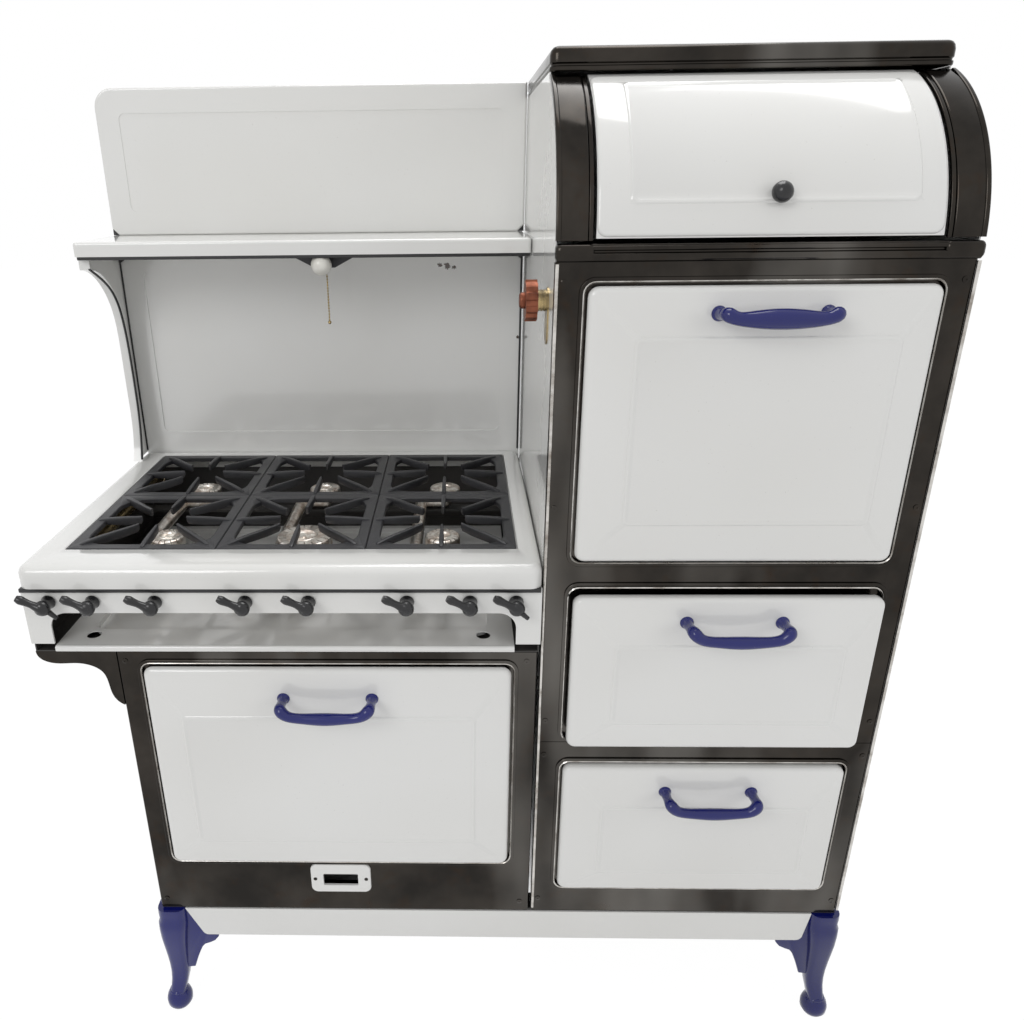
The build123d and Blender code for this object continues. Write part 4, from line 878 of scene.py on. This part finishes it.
def burner_dress():
    """A dished cap and a small screw on each burner; the front centre burner is the big one."""
    shape = bmesh.new()
    for column in range(3):
        for cy in burner_rows:
            big = column == 1 and cy == burner_rows[0]
            radius = 46 if big else 29
            x = grate_left + (column + 0.5) * grate_width
            dish = [(0, -3.6), (radius * 0.34, -3.6), (radius * 0.40, -1.5), (radius * 0.43, 0.7),
                    (radius * 0.47, 0.9), (radius * 0.5, -0.3), (radius * 0.48, -1.2), (0, -4.6)]
            lathe(shape, at(x, cy, burner_top), upward, dish)
            lathe(shape, at(x, cy, burner_top - 3.6), upward,
                  [(0, -0.6), (3.6, -0.6), (3.2, 1.4), (0, 2)], 12)
    complete("burner_caps", shape, burner_metal, root)


burner_dress()


# Camera, light and floor

def camera():
    """The photograph's viewpoint, fitted to the range's straight edges."""
    picture_width = 1024
    focal_length = 830.5
    view_centre = 440.7
    viewpoint = at(-120, -1095.7, 1436.4)
    lens = bpy.data.cameras.new("photo_camera")
    lens.sensor_width = 36.0
    lens.lens = focal_length * lens.sensor_width / picture_width
    lens.shift_x = (picture_width / 2 - view_centre) / picture_width
    lens.clip_end = 60
    holder = bpy.data.objects.new("photo_camera", lens)
    bpy.context.scene.collection.objects.link(holder)
    pitch = radians(21.8)
    yaw = radians(-1.5)
    roll = radians(0.7)
    ahead = Vector((sin(yaw) * cos(pitch), cos(yaw) * cos(pitch), -sin(pitch)))
    right = Vector((cos(yaw), -sin(yaw), 0))
    down = ahead.cross(right)
    across = right * cos(roll) + down * sin(roll)
    below = -right * sin(roll) + down * cos(roll)
    turned = Matrix((across, -below, -ahead)).transposed().to_4x4()
    holder.matrix_world = Matrix.Translation(viewpoint) @ turned
    bpy.context.scene.camera = holder


camera()


def lamp(name, place, target, size, watts, shiny=True):
    light = bpy.data.lights.new(name, "AREA")
    light.size = size
    light.energy = watts
    holder = bpy.data.objects.new(name, light)
    bpy.context.scene.collection.objects.link(holder)
    holder.location = place
    holder.rotation_euler = (Vector(target) - Vector(place)).to_track_quat("-Z", "Y").to_euler()
    holder.visible_glossy = shiny


lamp("key_softbox", (-2.3, -3.4, 3.3), (0, 0, 0.9), 1.8, 44)
lamp("fill_softbox", (3.0, -3.0, 2.2), (0, 0, 0.8), 1.6, 14, False)
lamp("top_softbox", (0.2, 0.6, 3.6), (0, 0, 1.0), 1.6, 34)


def surroundings():
    """Even grey light for surfaces, a white background for the camera and reflections, and a pale floor."""
    surface_light = 0.56
    background_light = 1.0
    world = bpy.data.worlds.new("studio")
    world.use_nodes = True
    tree = world.node_tree
    tree.nodes.clear()
    paths = tree.nodes.new("ShaderNodeLightPath")
    seen = tree.nodes.new("ShaderNodeMath")
    seen.operation = "MAXIMUM"
    seen.use_clamp = True
    tree.links.new(paths.outputs["Is Camera Ray"], seen.inputs[0])
    tree.links.new(paths.outputs["Is Glossy Ray"], seen.inputs[1])
    also = tree.nodes.new("ShaderNodeMath")
    also.operation = "MAXIMUM"
    tree.links.new(seen.outputs[0], also.inputs[0])
    tree.links.new(paths.outputs["Is Transmission Ray"], also.inputs[1])
    strength = tree.nodes.new("ShaderNodeMapRange")
    strength.inputs[3].default_value = surface_light
    strength.inputs[4].default_value = background_light
    tree.links.new(also.outputs[0], strength.inputs[0])
    sky = tree.nodes.new("ShaderNodeBackground")
    sky.inputs["Color"].default_value = rgb(1, 1, 1)
    tree.links.new(strength.outputs[0], sky.inputs["Strength"])
    out = tree.nodes.new("ShaderNodeOutputWorld")
    tree.links.new(sky.outputs[0], out.inputs["Surface"])
    bpy.context.scene.world = world
    floor_finish = Finish("studio_floor")
    camera_ray = floor_finish.node("ShaderNodeLightPath", out="Is Camera Ray")
    glossy_ray = floor_finish.node("ShaderNodeLightPath", out="Is Glossy Ray")
    clear_ray = floor_finish.node("ShaderNodeLightPath", out="Is Transmission Ray")
    opaque_ray = floor_finish.maths("MAXIMUM", camera_ray, glossy_ray)
    seen_ray = floor_finish.maths("MAXIMUM", opaque_ray, clear_ray)
    matt = floor_finish.node("ShaderNodeBsdfDiffuse", Color=rgb(0.88, 0.88, 0.88))
    glow = floor_finish.node("ShaderNodeEmission", Color=rgb(1, 1, 1), Strength=1.05)
    both = floor_finish.node("ShaderNodeMixShader", i0=seen_ray * 0.93, i1=matt, i2=glow)
    floor_finish.node("ShaderNodeOutputMaterial", Surface=both)
    shape = bmesh.new()
    bmesh.ops.create_grid(shape, x_segments=2, y_segments=2, size=14)
    mesh = bpy.data.meshes.new("studio_floor")
    shape.to_mesh(mesh)
    shape.free()
    mesh.materials.append(floor_finish.material)
    floor = bpy.data.objects.new("studio_floor", mesh)
    bpy.context.scene.collection.objects.link(floor)


surroundings()
bpy.context.scene.view_settings.view_transform = "Standard"
